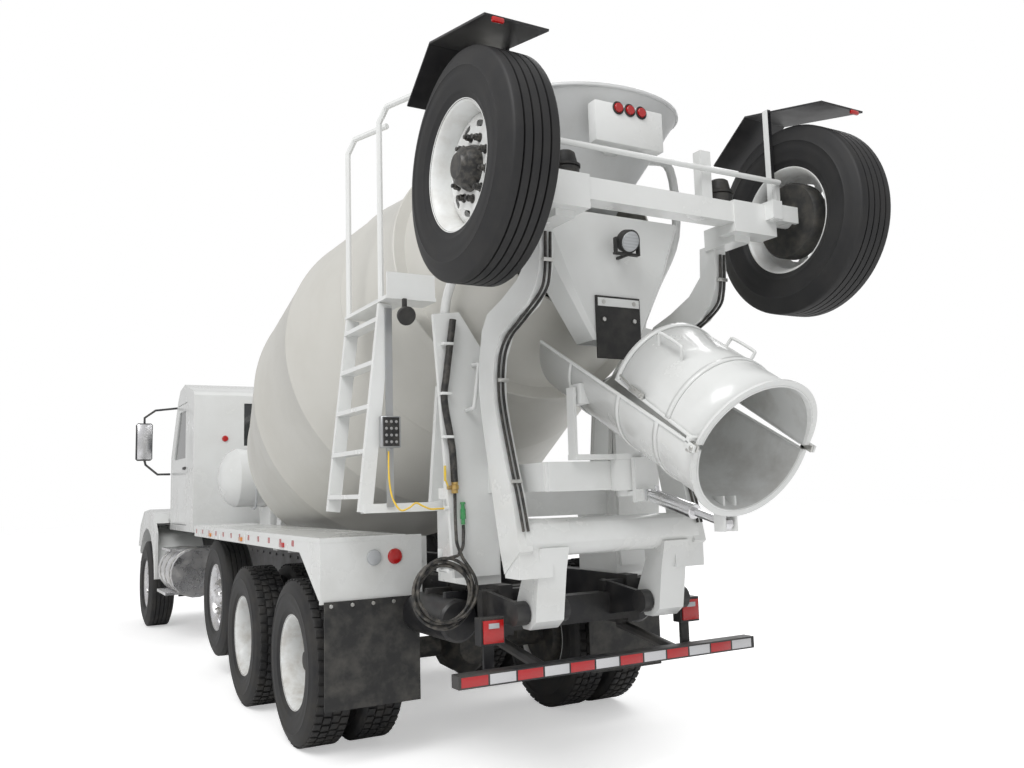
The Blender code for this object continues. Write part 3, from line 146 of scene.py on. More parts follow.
COLOR, FLOAT = "NodeSocketColor", "NodeSocketFloat"
grime, grime_in, grime_out = socket_group(
    "road_dust",
    [
        (COLOR, "Clean", (0.8, 0.8, 0.8, 1)),
        (COLOR, "Dust", (0.42, 0.38, 0.32, 1)),
        (FLOAT, "Amount", 0.3),
        (FLOAT, "Low Down", 0.5),
        (FLOAT, "Scale", 3.0),
        (FLOAT, "Roughness", 0.3),
        (FLOAT, "Dust Roughness", 0.8),
    ],
    [(COLOR, "Color"), (FLOAT, "Roughness"), (FLOAT, "Height")],
)
link = grime.links.new
coordinate = grime.nodes.new("ShaderNodeTexCoord")
patches = grime.nodes.new("ShaderNodeTexNoise")
patches.inputs["Detail"].default_value = 8.0
patches.inputs["Roughness"].default_value = 0.62
link(coordinate.outputs["Object"], patches.inputs["Vector"])
link(grime_in.outputs["Scale"], patches.inputs["Scale"])
split = grime.nodes.new("ShaderNodeSeparateXYZ")
link(coordinate.outputs["Object"], split.inputs[0])
nearness = grime.nodes.new("ShaderNodeMapRange")
nearness.inputs["From Min"].default_value = 2.0
nearness.inputs["From Max"].default_value = 0.3
link(split.outputs["Z"], nearness.inputs["Value"])
low = grime.nodes.new("ShaderNodeMath")
low.operation = "MULTIPLY"
link(nearness.outputs[0], low.inputs[0])
link(grime_in.outputs["Low Down"], low.inputs[1])
total = grime.nodes.new("ShaderNodeMath")
total.operation = "ADD"
link(low.outputs[0], total.inputs[0])
link(grime_in.outputs["Amount"], total.inputs[1])
spread = grime.nodes.new("ShaderNodeMapRange")
spread.inputs["From Min"].default_value = 0.42
spread.inputs["From Max"].default_value = 0.72
link(patches.outputs["Fac"], spread.inputs["Value"])
cover = grime.nodes.new("ShaderNodeMath")
cover.operation = "MULTIPLY"
cover.use_clamp = True
link(spread.outputs[0], cover.inputs[0])
link(total.outputs[0], cover.inputs[1])
blend_color = grime.nodes.new("ShaderNodeMix")
blend_color.data_type = "RGBA"
link(cover.outputs[0], blend_color.inputs["Factor"])
link(grime_in.outputs["Clean"], blend_color.inputs["A"])
link(grime_in.outputs["Dust"], blend_color.inputs["B"])
blend_rough = grime.nodes.new("ShaderNodeMix")
link(cover.outputs[0], blend_rough.inputs["Factor"])
link(grime_in.outputs["Roughness"], blend_rough.inputs["A"])
link(grime_in.outputs["Dust Roughness"], blend_rough.inputs["B"])
link(blend_color.outputs["Result"], grime_out.inputs["Color"])
link(blend_rough.outputs["Result"], grime_out.inputs["Roughness"])
link(patches.outputs["Fac"], grime_out.inputs["Height"])


def coated(name, clean, roughness, dust=(0.42, 0.38, 0.32), amount=0.2, low_down=0.4, scale=3.0,
           metallic=0.0, bump=0.1, coat=0.0, dust_roughness=0.8):
    """A material of one clean finish under patchy dust, thicker low down."""
    made = bpy.data.materials.new(name)
    made.use_nodes = True
    tree = made.node_tree
    shader = tree.nodes["Principled BSDF"]
    shader.inputs["Metallic"].default_value = metallic
    shader.inputs["Coat Weight"].default_value = coat
    dusty = tree.nodes.new("ShaderNodeGroup")
    dusty.node_tree = grime
    for label, value in (("Clean", (*clean, 1)), ("Dust", (*dust, 1)), ("Amount", amount),
                         ("Low Down", low_down), ("Scale", scale), ("Roughness", roughness),
                         ("Dust Roughness", dust_roughness)):
        dusty.inputs[label].default_value = value
    relief = tree.nodes.new("ShaderNodeBump")
    relief.inputs["Strength"].default_value = bump
    relief.inputs["Distance"].default_value = 0.002
    tree.links.new(dusty.outputs["Color"], shader.inputs["Base Color"])
    tree.links.new(dusty.outputs["Roughness"], shader.inputs["Roughness"])
    tree.links.new(dusty.outputs["Height"], relief.inputs["Height"])
    tree.links.new(relief.outputs["Normal"], shader.inputs["Normal"])
    return made


def smooth_way(points, steps):
    """Points of a smooth curve through a route."""
    route = [Vector(point) for point in points]
    ends = [2 * route[0] - route[1]] + route + [2 * route[-1] - route[-2]]
    way = []
    for before, start, end, after in zip(ends, ends[1:], ends[2:], ends[3:]):
        for k in range(steps):
            t = k / steps
            way.append(0.5 * (2 * start + (end - before) * t
                              + (2 * before - 5 * start + 4 * end - after) * t ** 2
                              + (3 * start - before - 3 * end + after) * t ** 3))
    return way + [route[-1]]


def bar(name, points, radius, material=None, resolution=3, cyclic=False):
    """A round bar or hose along these points, as a mesh."""
    curve = bpy.data.curves.new(name, "CURVE")
    curve.dimensions = "3D"
    curve.bevel_depth = radius
    curve.bevel_resolution = resolution
    curve.use_fill_caps = True
    line = curve.splines.new("POLY")
    line.points.add(len(points) - 1)
    for point, at in zip(line.points, points):
        point.co = (*at, 1)
    line.use_cyclic_u = cyclic
    drawn = bpy.data.objects.new(name, curve)
    bpy.context.scene.collection.objects.link(drawn)
    bpy.context.view_layer.update()
    mesh = bpy.data.meshes.new_from_object(drawn.evaluated_get(bpy.context.evaluated_depsgraph_get()))
    bpy.data.objects.remove(drawn)
    build = bmesh.new()
    build.from_mesh(mesh)
    bpy.data.meshes.remove(mesh)
    made = shape(name, build, 60)
    if material:
        made.data.materials.append(material)
    return made


yellow_sheath = coated("yellow_sheath", (0.85, 0.56, 0.03), 0.42, amount=0.25, scale=30.0)
KEYPAD_ROUTE = [
    (-1.0270, -3.4623, 1.8097), (-1.0280, -3.4643, 1.7700), (-1.0330, -3.4768, 1.7000),
    (-1.0340, -3.4928, 1.6200), (-1.0240, -3.5128, 1.5450), (-0.9900, -3.5328, 1.4880),
    (-0.9450, -3.5468, 1.5000), (-0.9100, -3.5558, 1.5240), (-0.8750, -3.5628, 1.5080),
    (-0.8300, -3.5688, 1.4890), (-0.7850, -3.5708, 1.4890), (-0.7503, -3.5708, 1.4890),
]
keypad_way = smooth_way(KEYPAD_ROUTE, 6)
keypad_cord = bar("keypad_control_cord", keypad_way, 0.005, yellow_sheath)
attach(keypad_cord, "chassis")
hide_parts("keypad_cord")

# ------------------------------------------------------------------ wash-down hose
# Black rubber hose from the water valve, wound in nearly five loops on the pedestal's hook, with its spray
# nozzle parked above the coil. It is extruded rubber with a dull skin.
hose_rubber = coated("hose_rubber", (0.018, 0.018, 0.018), 0.5, amount=0.15, scale=25.0)
COIL_AT = Vector((-0.790, -3.6458, 1.040))
COIL_RADIUS = 0.170
COIL_TURNS = 5
HOSE_RADIUS = 0.009
NOZZLE_AT = Vector((-0.650, -3.6031, 1.397))
hose_start = [(-0.7000, -3.6081, 1.5697), (-0.7010, -3.6101, 1.5200), (-0.7060, -3.6201, 1.4400),
              (-0.7120, -3.6378, 1.3600), (-0.7100, -3.6458, 1.2950), (-0.6780, -3.6520, 1.2150)]
coil_points = []
POINTS_A_TURN = 24
for k in range(int(POINTS_A_TURN * (COIL_TURNS - 0.15)) + 1):
    turn = k / POINTS_A_TURN
    angle = math.radians(38) - 2 * math.pi * turn
    reach = COIL_RADIUS + 0.021 * math.cos(2.4 * math.pi * turn) - 0.004
    drift = -0.025 + 0.050 * turn / COIL_TURNS
    coil_points.append(COIL_AT + Vector((reach * math.cos(angle), drift, reach * math.sin(angle))))
hose_end = [(-0.7050, -3.6330, 1.2330), (-0.6760, -3.6400, 1.2750), (-0.6600, -3.6200, 1.3200),
            (-0.6500, -3.6045, 1.3600), tuple(NOZZLE_AT)]
hose_way = smooth_way(hose_start, 3) + coil_points + smooth_way(hose_end, 3)
hose_way = smooth_way(hose_way, 2)
wash_hose = bar("wash_down_hose", hose_way, HOSE_RADIUS, hose_rubber)

nozzle_green = coated("nozzle_green", (0.05, 0.30, 0.10), 0.4, amount=0.15, scale=30.0)
nozzle_build = bmesh.new()
for height, radius, top in ((0.0, 0.012, 0.030), (0.030, 0.016, 0.085), (0.085, 0.011, 0.110),
                            (0.110, 0.015, 0.122)):
    part = bmesh.ops.create_cone(nozzle_build, cap_ends=True, segments=20, radius1=radius,
                                 radius2=radius * 0.9, depth=top - height)
    bmesh.ops.translate(nozzle_build, verts=part["verts"],
                        vec=NOZZLE_AT + Vector((0, 0, 0.002 + (height + top) / 2)))
nozzle = shape("spray_gun", nozzle_build)
nozzle.data.materials.append(nozzle_green)
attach(nozzle, "chassis")
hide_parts("spray_nozzle")
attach(wash_hose, "chassis")
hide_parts("wash_hose", "wash_hose_coil", "wash_hose_tail")

# ------------------------------------------------------------------ chassis frame and axles
# Two pressed steel rails with cross members, leaf-sprung axles of cast iron, all under black chassis paint.
# The pieces are riveted, bolted and welded; road dust lies on everything below the decks.
TRUCK_Y = -2.2208  # the rearmost drive axle, from which places along the truck are counted


def settled(made, *modifiers):
    """The object with these modifiers, each (name, kind, settings), made into its plain mesh."""
    for label, kind, settings in modifiers:
        added = made.modifiers.new(label, kind)
        for setting, value in settings.items():
            setattr(added, setting, value)
    bpy.context.view_layer.update()
    finished = bpy.data.meshes.new_from_object(made.evaluated_get(bpy.context.evaluated_depsgraph_get()))
    made.modifiers.clear()
    made.data = finished
    return made


def dressed(node, body, material, radius=0.003, smooth=38):
    """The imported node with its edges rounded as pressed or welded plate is, and its finish."""
    build = bmesh.new()
    build.from_mesh(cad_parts[node].data)
    bmesh.ops.remove_doubles(build, verts=build.verts, dist=0.00001)
    bmesh.ops.dissolve_limit(build, angle_limit=math.radians(0.6), verts=build.verts, edges=build.edges)
    mesh = bpy.data.meshes.new(node)
    build.to_mesh(mesh)
    build.free()
    mesh.shade_smooth()
    made = bpy.data.objects.new(node + "_finished", mesh)
    bpy.context.scene.collection.objects.link(made)
    edges = {"width": radius, "segments": 2, "limit_method": "ANGLE", "angle_limit": math.radians(smooth)}
    settled(made, ("edges", "BEVEL", edges), ("faces", "WEIGHTED_NORMAL", {"keep_sharp": True}))
    made.data.set_sharp_from_angle(angle=math.radians(smooth + 10))
    made.data.materials.append(material)
    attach(made, body)
    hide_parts(node)
    return made


black_paint = coated("black_chassis_paint", (0.016, 0.016, 0.018), 0.32, dust=(0.10, 0.095, 0.085),
                     amount=0.25, low_down=0.5, scale=4.0)
cast_finish = coated("painted_casting", (0.022, 0.022, 0.022), 0.55, dust=(0.12, 0.11, 0.09), amount=0.5,
                     scale=14.0, bump=0.5)
for node in ("frame_rails", "underride_guard"):
    dressed(node, "chassis", black_paint)
for node in ("drive_axle_front", "drive_axle_rear", "pusher_axle", "steer_axle", "engine_block"):
    dressed(node, "chassis", cast_finish)
for node in ("steer_knuckle_left", "steer_knuckle_right", "tie_rod"):
    dressed(node, node, cast_finish)


def tree_of(name, inputs):
    """A Geometry Nodes tree with a geometry input, these named inputs and a geometry output."""
    tree = bpy.data.node_groups.new(name, "GeometryNodeTree")
    tree.interface.new_socket("Geometry", in_out="INPUT", socket_type="NodeSocketGeometry")
    for label, kind in inputs:
        tree.interface.new_socket(label, in_out="INPUT", socket_type=kind)
    tree.interface.new_socket("Geometry", in_out="OUTPUT", socket_type="NodeSocketGeometry")
    return tree, tree.nodes.new("NodeGroupInput"), tree.nodes.new("NodeGroupOutput")


def repeated(made, tree, **values):
    """The object repeated by a tree with these named values, as a plain mesh."""
    added = made.modifiers.new("repeat", "NODES")
    added.node_group = tree
    for item in tree.interface.items_tree:
        label = item.name.replace(" ", "_").lower()
        if item.in_out == "INPUT" and label in values:
            added[item.identifier] = values[label]
    made.update_tag()
    return settled(made)


# Copies in a straight row, such as bolts, rivets and reflective tiles.
row_of, row_in, row_out = tree_of("row_of", [("Count", "NodeSocketInt"), ("Start", "NodeSocketVector"),
                                             ("Step", "NodeSocketVector"),
                                             ("Material", "NodeSocketMaterial")])
row_line = row_of.nodes.new("GeometryNodeMeshLine")
row_line.mode = "OFFSET"
row_of.links.new(row_in.outputs["Count"], row_line.inputs["Count"])
row_of.links.new(row_in.outputs["Start"], row_line.inputs["Start Location"])
row_of.links.new(row_in.outputs["Step"], row_line.inputs["Offset"])
row_copy = row_of.nodes.new("GeometryNodeInstanceOnPoints")
row_of.links.new(row_line.outputs["Mesh"], row_copy.inputs["Points"])
row_of.links.new(row_in.outputs["Geometry"], row_copy.inputs["Instance"])
row_real = row_of.nodes.new("GeometryNodeRealizeInstances")
row_of.links.new(row_copy.outputs[0], row_real.inputs[0])
row_paint = row_of.nodes.new("GeometryNodeSetMaterial")
row_of.links.new(row_real.outputs[0], row_paint.inputs["Geometry"])
row_of.links.new(row_in.outputs["Material"], row_paint.inputs["Material"])
row_of.links.new(row_paint.outputs[0], row_out.inputs["Geometry"])


def worn_block(build, size, at, turn=None, chamfer=0.15):
    """A block with its edges broken, in this build."""
    made = bmesh.ops.create_cube(build, size=1.0)
    bmesh.ops.scale(build, vec=size, verts=made["verts"])
    edges = list({edge for corner in made["verts"] for edge in corner.link_edges})
    cut_back = bmesh.ops.bevel(build, geom=edges, offset=min(size) * chamfer, segments=2, affect="EDGES",
                               profile=0.5)
    corners = list({corner for face in cut_back["faces"] for corner in face.verts}
                   | {corner for corner in made["verts"] if corner.is_valid})
    if turn:
        bmesh.ops.rotate(build, cent=(0, 0, 0), matrix=turn, verts=corners)
    bmesh.ops.translate(build, verts=corners, vec=at)


def round_bar(build, radius, start, end, segments=16, top=None):
    """A short round bar with its rims broken, in this build."""
    start, end = Vector(start), Vector(end)
    way = end - start
    made = bmesh.ops.create_cone(build, cap_ends=True, segments=segments, radius1=radius,
                                 radius2=top or radius, depth=way.length)
    caps = [face for face in {face for corner in made["verts"] for face in corner.link_faces}
            if len(face.verts) > 4]
    rims = list({edge for face in caps for edge in face.edges})
    cut_back = bmesh.ops.bevel(build, geom=rims, offset=min(radius, way.length) * 0.12, segments=1,
                               affect="EDGES")
    corners = list({corner for face in cut_back["faces"] for corner in face.verts}
                   | {corner for corner in made["verts"] if corner.is_valid}
                   | {corner for face in caps if face.is_valid for corner in face.verts})
    bmesh.ops.rotate(build, cent=(0, 0, 0), matrix=way.to_track_quat("Z", "Y").to_matrix(), verts=corners)
    bmesh.ops.translate(build, verts=corners, vec=(start + end) / 2)


def fitted(name, body, material, slot, *parts, tree=None, **values):
    """A small piece on a body, from parts of (maker, measures), repeated as a whole where a tree is given."""
    build = bmesh.new()
    for make, *measures in parts:
        make(build, *measures)
    made = shape(name, build)
    made.data.materials.append(material)
    if tree:
        repeated(made, tree, material=material, **values)
    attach(made, body)
    return made


plated = coated("zinc_plated", (0.62, 0.62, 0.60), 0.3, amount=0.2, scale=30.0, metallic=1.0)
for sign in (-1, 1):
    fitted("rail_rivets", "chassis", black_paint, "black_steel",
           (round_bar, 0.014, (sign * 0.4725, 0, 0), (sign * 0.4825, 0, 0), 12, 0.011),
           tree=row_of, count=30, start=(0, TRUCK_Y - 1.30, 1.02), step=(0, 0.25, 0))
    fitted("air_tank", "chassis", black_paint, "black_steel",
           (round_bar, 0.12, (sign * 0.62, TRUCK_Y - 1.25, 0.86), (sign * 0.62, TRUCK_Y - 0.70, 0.86), 32),
           (worn_block, (0.16, 0.04, 0.26), (sign * 0.565, TRUCK_Y - 1.10, 0.88)),
           (worn_block, (0.16, 0.04, 0.26), (sign * 0.565, TRUCK_Y - 0.84, 0.88)))

# ------------------------------------------------------------------ rear lamps and reflective tape
# Square red lamps of moulded acrylic on the rear guard's brackets, and stick-on reflective tape in red and
# white blocks along the guard's bar.
def lens_of(name, color, ribs):
    """A moulded lens: clear acrylic over a coloured, ribbed back."""
    made = bpy.data.materials.new(name)
    made.use_nodes = True
    tree = made.node_tree
    shader = tree.nodes["Principled BSDF"]
    shader.inputs["Roughness"].default_value = 0.12
    shader.inputs["Coat Weight"].default_value = 0.6
    where = tree.nodes.new("ShaderNodeTexCoord")
    pattern = tree.nodes.new("ShaderNodeTexVoronoi")
    pattern.feature = "F1"
    pattern.inputs["Scale"].default_value = ribs
    pattern.inputs["Randomness"].default_value = 0.0
    shades = tree.nodes.new("ShaderNodeMix")
    shades.data_type = "RGBA"
    shades.inputs["A"].default_value = (*color, 1)
    shades.inputs["B"].default_value = (*(channel * 0.45 for channel in color), 1)
    relief = tree.nodes.new("ShaderNodeBump")
    relief.inputs["Strength"].default_value = 0.4
    relief.inputs["Distance"].default_value = 0.002
    tree.links.new(where.outputs["Object"], pattern.inputs["Vector"])
    tree.links.new(pattern.outputs["Distance"], shades.inputs["Factor"])
    tree.links.new(pattern.outputs["Distance"], relief.inputs["Height"])
    tree.links.new(shades.outputs["Result"], shader.inputs["Base Color"])
    tree.links.new(relief.outputs["Normal"], shader.inputs["Normal"])
    return made


red_lens = lens_of("red_lens", (0.62, 0.012, 0.012), 150.0)
amber_lens = lens_of("amber_lens", (0.85, 0.28, 0.01), 150.0)
clear_lens = lens_of("clear_lens", (0.62, 0.64, 0.66), 150.0)
tape_red = lens_of("tape_red", (0.60, 0.015, 0.02), 420.0)
tape_white = lens_of("tape_white", (0.80, 0.80, 0.82), 420.0)
LAMP_REAR = TRUCK_Y - 1.700
for sign in (-1, 1):
    fitted("tail_lens", "chassis", red_lens, "dark_trim",
           (worn_block, (0.116, 0.012, 0.116), (sign * 0.650, LAMP_REAR - 0.006, 0.860)))
    fitted("reverse_window", "chassis", clear_lens, "dark_trim",
           (worn_block, (0.060, 0.006, 0.026), (sign * 0.650, LAMP_REAR - 0.0142, 0.890)))
for first, paint in ((0, tape_red), (1, tape_white)):
    fitted("guard_tape", "chassis", paint, "dark_trim",
           (worn_block, (0.145, 0.001, 0.048), (0, 0, 0)),
           tree=row_of, count=6, start=(-0.8600 + 0.1555 * first, TRUCK_Y - 1.9006, 0.670),
           step=(0.3110, 0, 0))

# ------------------------------------------------------------------ tyres
# Radial truck tyres of black rubber on 22.5 in rims. The free-rolling ones have plain ribs, the driven ones
# blocks cut across the ribs; both have ringed sidewalls and take a brown bloom of dust.
RIM_EDGE = 0.2985
DUAL_OFFSET = 0.1675  # each dual tyre from the middle of its pair


def spun(name, profile, centre, outboard, steps, material, closed=True, skip=None, smooth=40):
    """A profile of (radius, distance outboard) turned about an axle. Skip leaves faces out."""
    build = bmesh.new()
    rings = []
    for k in range(steps):
        angle = 2 * math.pi * k / steps
        rings.append([build.verts.new((centre[0] + outboard * h, centre[1] + r * math.sin(angle),
                                       centre[2] + r * math.cos(angle))) for r, h in profile])
    for k in range(steps):
        here, there = rings[k], rings[(k + 1) % steps]
        for n in range(len(profile) if closed else len(profile) - 1):
            if skip and skip(k, n):
                continue
            m = (n + 1) % len(profile)
            corners = [here[n], here[m], there[m], there[n]]
            build.faces.new(corners)
    made = shape(name, build, smooth)
    made.data.materials.append(material)
    return made


def tyre_profile(radius, width, rows, groove=0.009, depth=0.012):
    """Outer and inner line of a tyre with ribs between grooves, as (radius, distance outboard)."""
    half = width / 2
    tread = half - 0.034
    line = [(RIM_EDGE - 0.004, 0.112), (RIM_EDGE + 0.012, 0.118), (0.325, half - 0.016),
            (0.332, half - 0.010), (0.340, half - 0.011), (0.375, half - 0.001), (0.405, half),
            (0.432, half - 0.002), (0.437, half + 0.001), (0.444, half - 0.003), (0.470, half - 0.009),
            (0.492, half - 0.017), (radius - 0.016, half - 0.026), (radius - 0.006, half - 0.030),
            (radius - 0.001, tread - 0.004)]
    ribs = []
    for k in range(rows):
        middle = tread * (1 - 2 * (k + 1) / (rows + 1))
        ribs += [(radius, middle + groove / 2), (radius - depth, middle + groove / 2 - 0.002),
                 (radius - depth, middle - groove / 2 + 0.002), (radius, middle - groove / 2)]
    mirrored = [(r, -h) for r, h in reversed(line)]
    inside = [(RIM_EDGE - 0.012, -0.100), (RIM_EDGE + 0.02, -0.09), (RIM_EDGE + 0.02, 0.09),
              (RIM_EDGE - 0.012, 0.100)]
    return line + ribs + mirrored + inside


tyre_rubber = coated("tyre_rubber", (0.012, 0.012, 0.013), 0.58, dust=(0.050, 0.046, 0.040), amount=0.22,
                     low_down=0.55, scale=7.0, bump=0.35)
ring_of, ring_in, ring_out_node = tree_of("ring_of", [("Count", "NodeSocketInt"), ("Turn", "NodeSocketFloat"),
                                                      ("Centre", "NodeSocketVector"),
                                                      ("Material", "NodeSocketMaterial")])
ring_points = ring_of.nodes.new("GeometryNodePoints")
ring_of.links.new(ring_in.outputs["Count"], ring_points.inputs["Count"])
ring_index = ring_of.nodes.new("GeometryNodeInputIndex")
ring_share = ring_of.nodes.new("ShaderNodeMath")
ring_share.operation = "DIVIDE"
ring_share.inputs[0].default_value = 2 * math.pi
ring_of.links.new(ring_in.outputs["Count"], ring_share.inputs[1])
ring_angle = ring_of.nodes.new("ShaderNodeMath")
ring_angle.operation = "MULTIPLY_ADD"
ring_of.links.new(ring_index.outputs[0], ring_angle.inputs[0])
ring_of.links.new(ring_share.outputs[0], ring_angle.inputs[1])
ring_of.links.new(ring_in.outputs["Turn"], ring_angle.inputs[2])
ring_euler = ring_of.nodes.new("ShaderNodeCombineXYZ")
ring_of.links.new(ring_angle.outputs[0], ring_euler.inputs["X"])
ring_turn = ring_of.nodes.new("FunctionNodeEulerToRotation")
ring_of.links.new(ring_euler.outputs[0], ring_turn.inputs[0])
ring_copy = ring_of.nodes.new("GeometryNodeInstanceOnPoints")
ring_of.links.new(ring_points.outputs[0], ring_copy.inputs["Points"])
ring_of.links.new(ring_in.outputs["Geometry"], ring_copy.inputs["Instance"])
ring_of.links.new(ring_turn.outputs[0], ring_copy.inputs["Rotation"])
ring_real = ring_of.nodes.new("GeometryNodeRealizeInstances")
ring_of.links.new(ring_copy.outputs[0], ring_real.inputs[0])
ring_move = ring_of.nodes.new("GeometryNodeTransform")
ring_of.links.new(ring_real.outputs[0], ring_move.inputs["Geometry"])
ring_of.links.new(ring_in.outputs["Centre"], ring_move.inputs["Translation"])
ring_paint = ring_of.nodes.new("GeometryNodeSetMaterial")
ring_of.links.new(ring_move.outputs[0], ring_paint.inputs["Geometry"])
ring_of.links.new(ring_in.outputs["Material"], ring_paint.inputs["Material"])
ring_of.links.new(ring_paint.outputs[0], ring_out_node.inputs["Geometry"])

WHEELS = []  # (body, side sign, axle centre, tyre radius, tyre width, kind)
for side, sign in (("left", -1), ("right", 1)):
    WHEELS += [
        (f"steer_wheel_{side}", sign, (sign * 1.095, TRUCK_Y + 6.694, 0.532), 0.532, 0.300, "steer"),
        (f"pusher_wheel_{side}", sign, (sign * 1.010, TRUCK_Y + 2.835, 0.683), 0.524, 0.280, "pusher"),
        (f"booster_wheel_{side}", sign, (sign * 1.019, TRUCK_Y - 2.378, 3.036), 0.528, 0.280, "booster"),
        (f"drive_wheels_front_{side}", sign, (sign * 0.9285, TRUCK_Y + 1.374, 0.524), 0.524, 0.280, "drive"),
        (f"drive_wheels_rear_{side}", sign, (sign * 0.9285, TRUCK_Y, 0.524), 0.524, 0.280, "drive"),
    ]
for body, sign, centre, radius, width, kind in WHEELS:
    for offset in ((DUAL_OFFSET, -DUAL_OFFSET) if kind == "drive" else (0.0,)):
        middle = (centre[0] + sign * offset, centre[1], centre[2])
        crown = radius - 0.009 if kind == "drive" else radius
        profile = tyre_profile(crown, width, 3 if kind == "drive" else 4,
                               depth=0.005 if kind == "drive" else 0.012)
        tyre = spun(f"{body}_tyre", profile, middle, sign, 96, tyre_rubber, smooth=50)
        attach(tyre, body)
        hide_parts(body)
        if kind == "drive":
            lugs = []
            for x, lead in ((-0.083, 0.0), (-0.0285, 0.5), (0.0285, 0.0), (0.083, 0.5)):
                lean = (Matrix.Rotation(math.radians(3.6 * lead), 3, "X")
                        @ Matrix.Rotation(math.radians(-6), 3, "Z"))
                lugs.append((worn_block, (0.046, 0.045, 0.010), lean @ Vector((x, 0, radius - 0.0048)), lean,
                             0.2))
            fitted(f"{body}_tread", body, tyre_rubber, "tyre", *lugs,
                   tree=ring_of, count=50, turn=0.0, centre=middle)

# ------------------------------------------------------------------ rims, hubs and nuts
# Forged aluminium rims on the steered and lifting axles, white painted steel ones on the driven and booster
# axles, each bolted to its hub by ten flanged nuts.
rim_alloy = coated("polished_rim", (0.78, 0.78, 0.80), 0.16, amount=0.15, scale=12.0, metallic=1.0)
rim_white = coated("painted_rim", (0.78, 0.79, 0.78), 0.3, amount=0.35, low_down=0.3, scale=9.0)
nut_steel = coated("nut_steel", (0.50, 0.50, 0.49), 0.35, amount=0.3, scale=40.0, metallic=1.0)
nut_black = coated("black_nut_cap", (0.018, 0.018, 0.018), 0.35, amount=0.2, scale=40.0)
NUTS = 10
NUT_CIRCLE = 0.1425
HOLE_STEPS = 60


def rim_pieces(body, sign, centre, face, hub_out, hub_radius, material, hub_material, nut_material,
               edge=0.115):
    """A rim's barrel, its holed disc at a distance outboard, the hub and the ring of nuts."""
    barrel_line = [(RIM_EDGE, edge), (RIM_EDGE + 0.0005, edge - 0.006), (0.286, edge - 0.010),
                   (0.276, edge - 0.028), (0.268, edge - 0.050), (0.262, edge - 0.085), (0.262, 0.085 - edge),
                   (0.268, 0.050 - edge), (0.276, 0.028 - edge), (0.286, 0.010 - edge), (RIM_EDGE, -edge)]
    barrel = spun(f"{body}_rim", barrel_line, centre, sign, HOLE_STEPS, material, closed=False)
    disc_line = [(0.264, face - 0.045), (0.258, face - 0.020), (0.245, face - 0.004), (0.228, face + 0.004),
                 (0.218, face + 0.006), (0.190, face + 0.008), (0.180, face + 0.008), (0.165, face + 0.010),
                 (0.120, face + 0.010), (hub_radius - 0.004, face + 0.010)]
    disc = spun(f"{body}_disc", disc_line, centre, sign, HOLE_STEPS, material, closed=False,
                skip=lambda k, n: n == 4 and k % 6 in (1, 2, 3))
    for made, thickness in ((barrel, 0.006), (disc, 0.010)):
        settled(made, ("wall", "SOLIDIFY", {"thickness": thickness, "offset": 0.0}),
                ("round", "SUBSURF", {"levels": 1, "render_levels": 1}))
        made.data.shade_smooth()
        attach(made, body)
    hub_line = [(0, hub_out), (hub_radius * 0.55, hub_out), (hub_radius * 0.62, hub_out - 0.012),
                (hub_radius * 0.80, hub_out - 0.020), (hub_radius * 0.86, hub_out - 0.034),
                (hub_radius, face + 0.022), (hub_radius, face - 0.030), (0, face - 0.030)]
    hub = spun(f"{body}_hub", hub_line, centre, sign, 40, hub_material)
    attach(hub, body)
    seat = sign * (face + 0.013)
    fitted(f"{body}_nuts", body, nut_material, "cast_iron",
           (round_bar, 0.0215, (seat, 0, NUT_CIRCLE), (seat + sign * 0.006, 0, NUT_CIRCLE), 16),
           (round_bar, 0.0165, (seat + sign * 0.005, 0, NUT_CIRCLE), (seat + sign * 0.030, 0, NUT_CIRCLE), 6),
           (round_bar, 0.0100, (seat + sign * 0.029, 0, NUT_CIRCLE), (seat + sign * 0.042, 0, NUT_CIRCLE),
            12),
           tree=ring_of, count=NUTS, turn=0.0, centre=tuple(centre))


for body, sign, centre, radius, width, kind in WHEELS:
    if kind in ("steer", "pusher"):
        rim_pieces(body, sign, centre, 0.052, 0.128, 0.100, rim_alloy, rim_alloy, nut_steel)
    elif kind == "booster":
        rim_pieces(body, sign, centre, 0.020, 0.118, 0.105, rim_white, nut_black, nut_black)
    else:
        outer = (centre[0] + sign * DUAL_OFFSET, centre[1], centre[2])
        inner = (centre[0] - sign * DUAL_OFFSET, centre[1], centre[2])
        rim_pieces(body, sign, outer, -0.100, 0.035, 0.105, rim_white, cast_finish, nut_steel)
        barrel = spun(f"{body}_inner_rim", [(RIM_EDGE, 0.115), (0.276, 0.087), (0.262, 0.030),
                                            (0.262, -0.030), (0.276, -0.087), (RIM_EDGE, -0.115)],
                      inner, sign, HOLE_STEPS, rim_white, closed=False)
        settled(barrel, ("wall", "SOLIDIFY", {"thickness": 0.006, "offset": 0.0}))
        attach(barrel, body)
    drum_build = [(0, 0.000), (0.205, 0.000), (0.212, -0.012), (0.212, -0.085), (0.200, -0.100), (0, -0.100)]
    brake_at = (centre[0] - sign * (0.20 if kind == "drive" else 0.0), centre[1], centre[2])
    brake = spun(f"{body}_brake_drum", drum_build, brake_at, sign, 48, cast_finish)
    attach(brake, body)

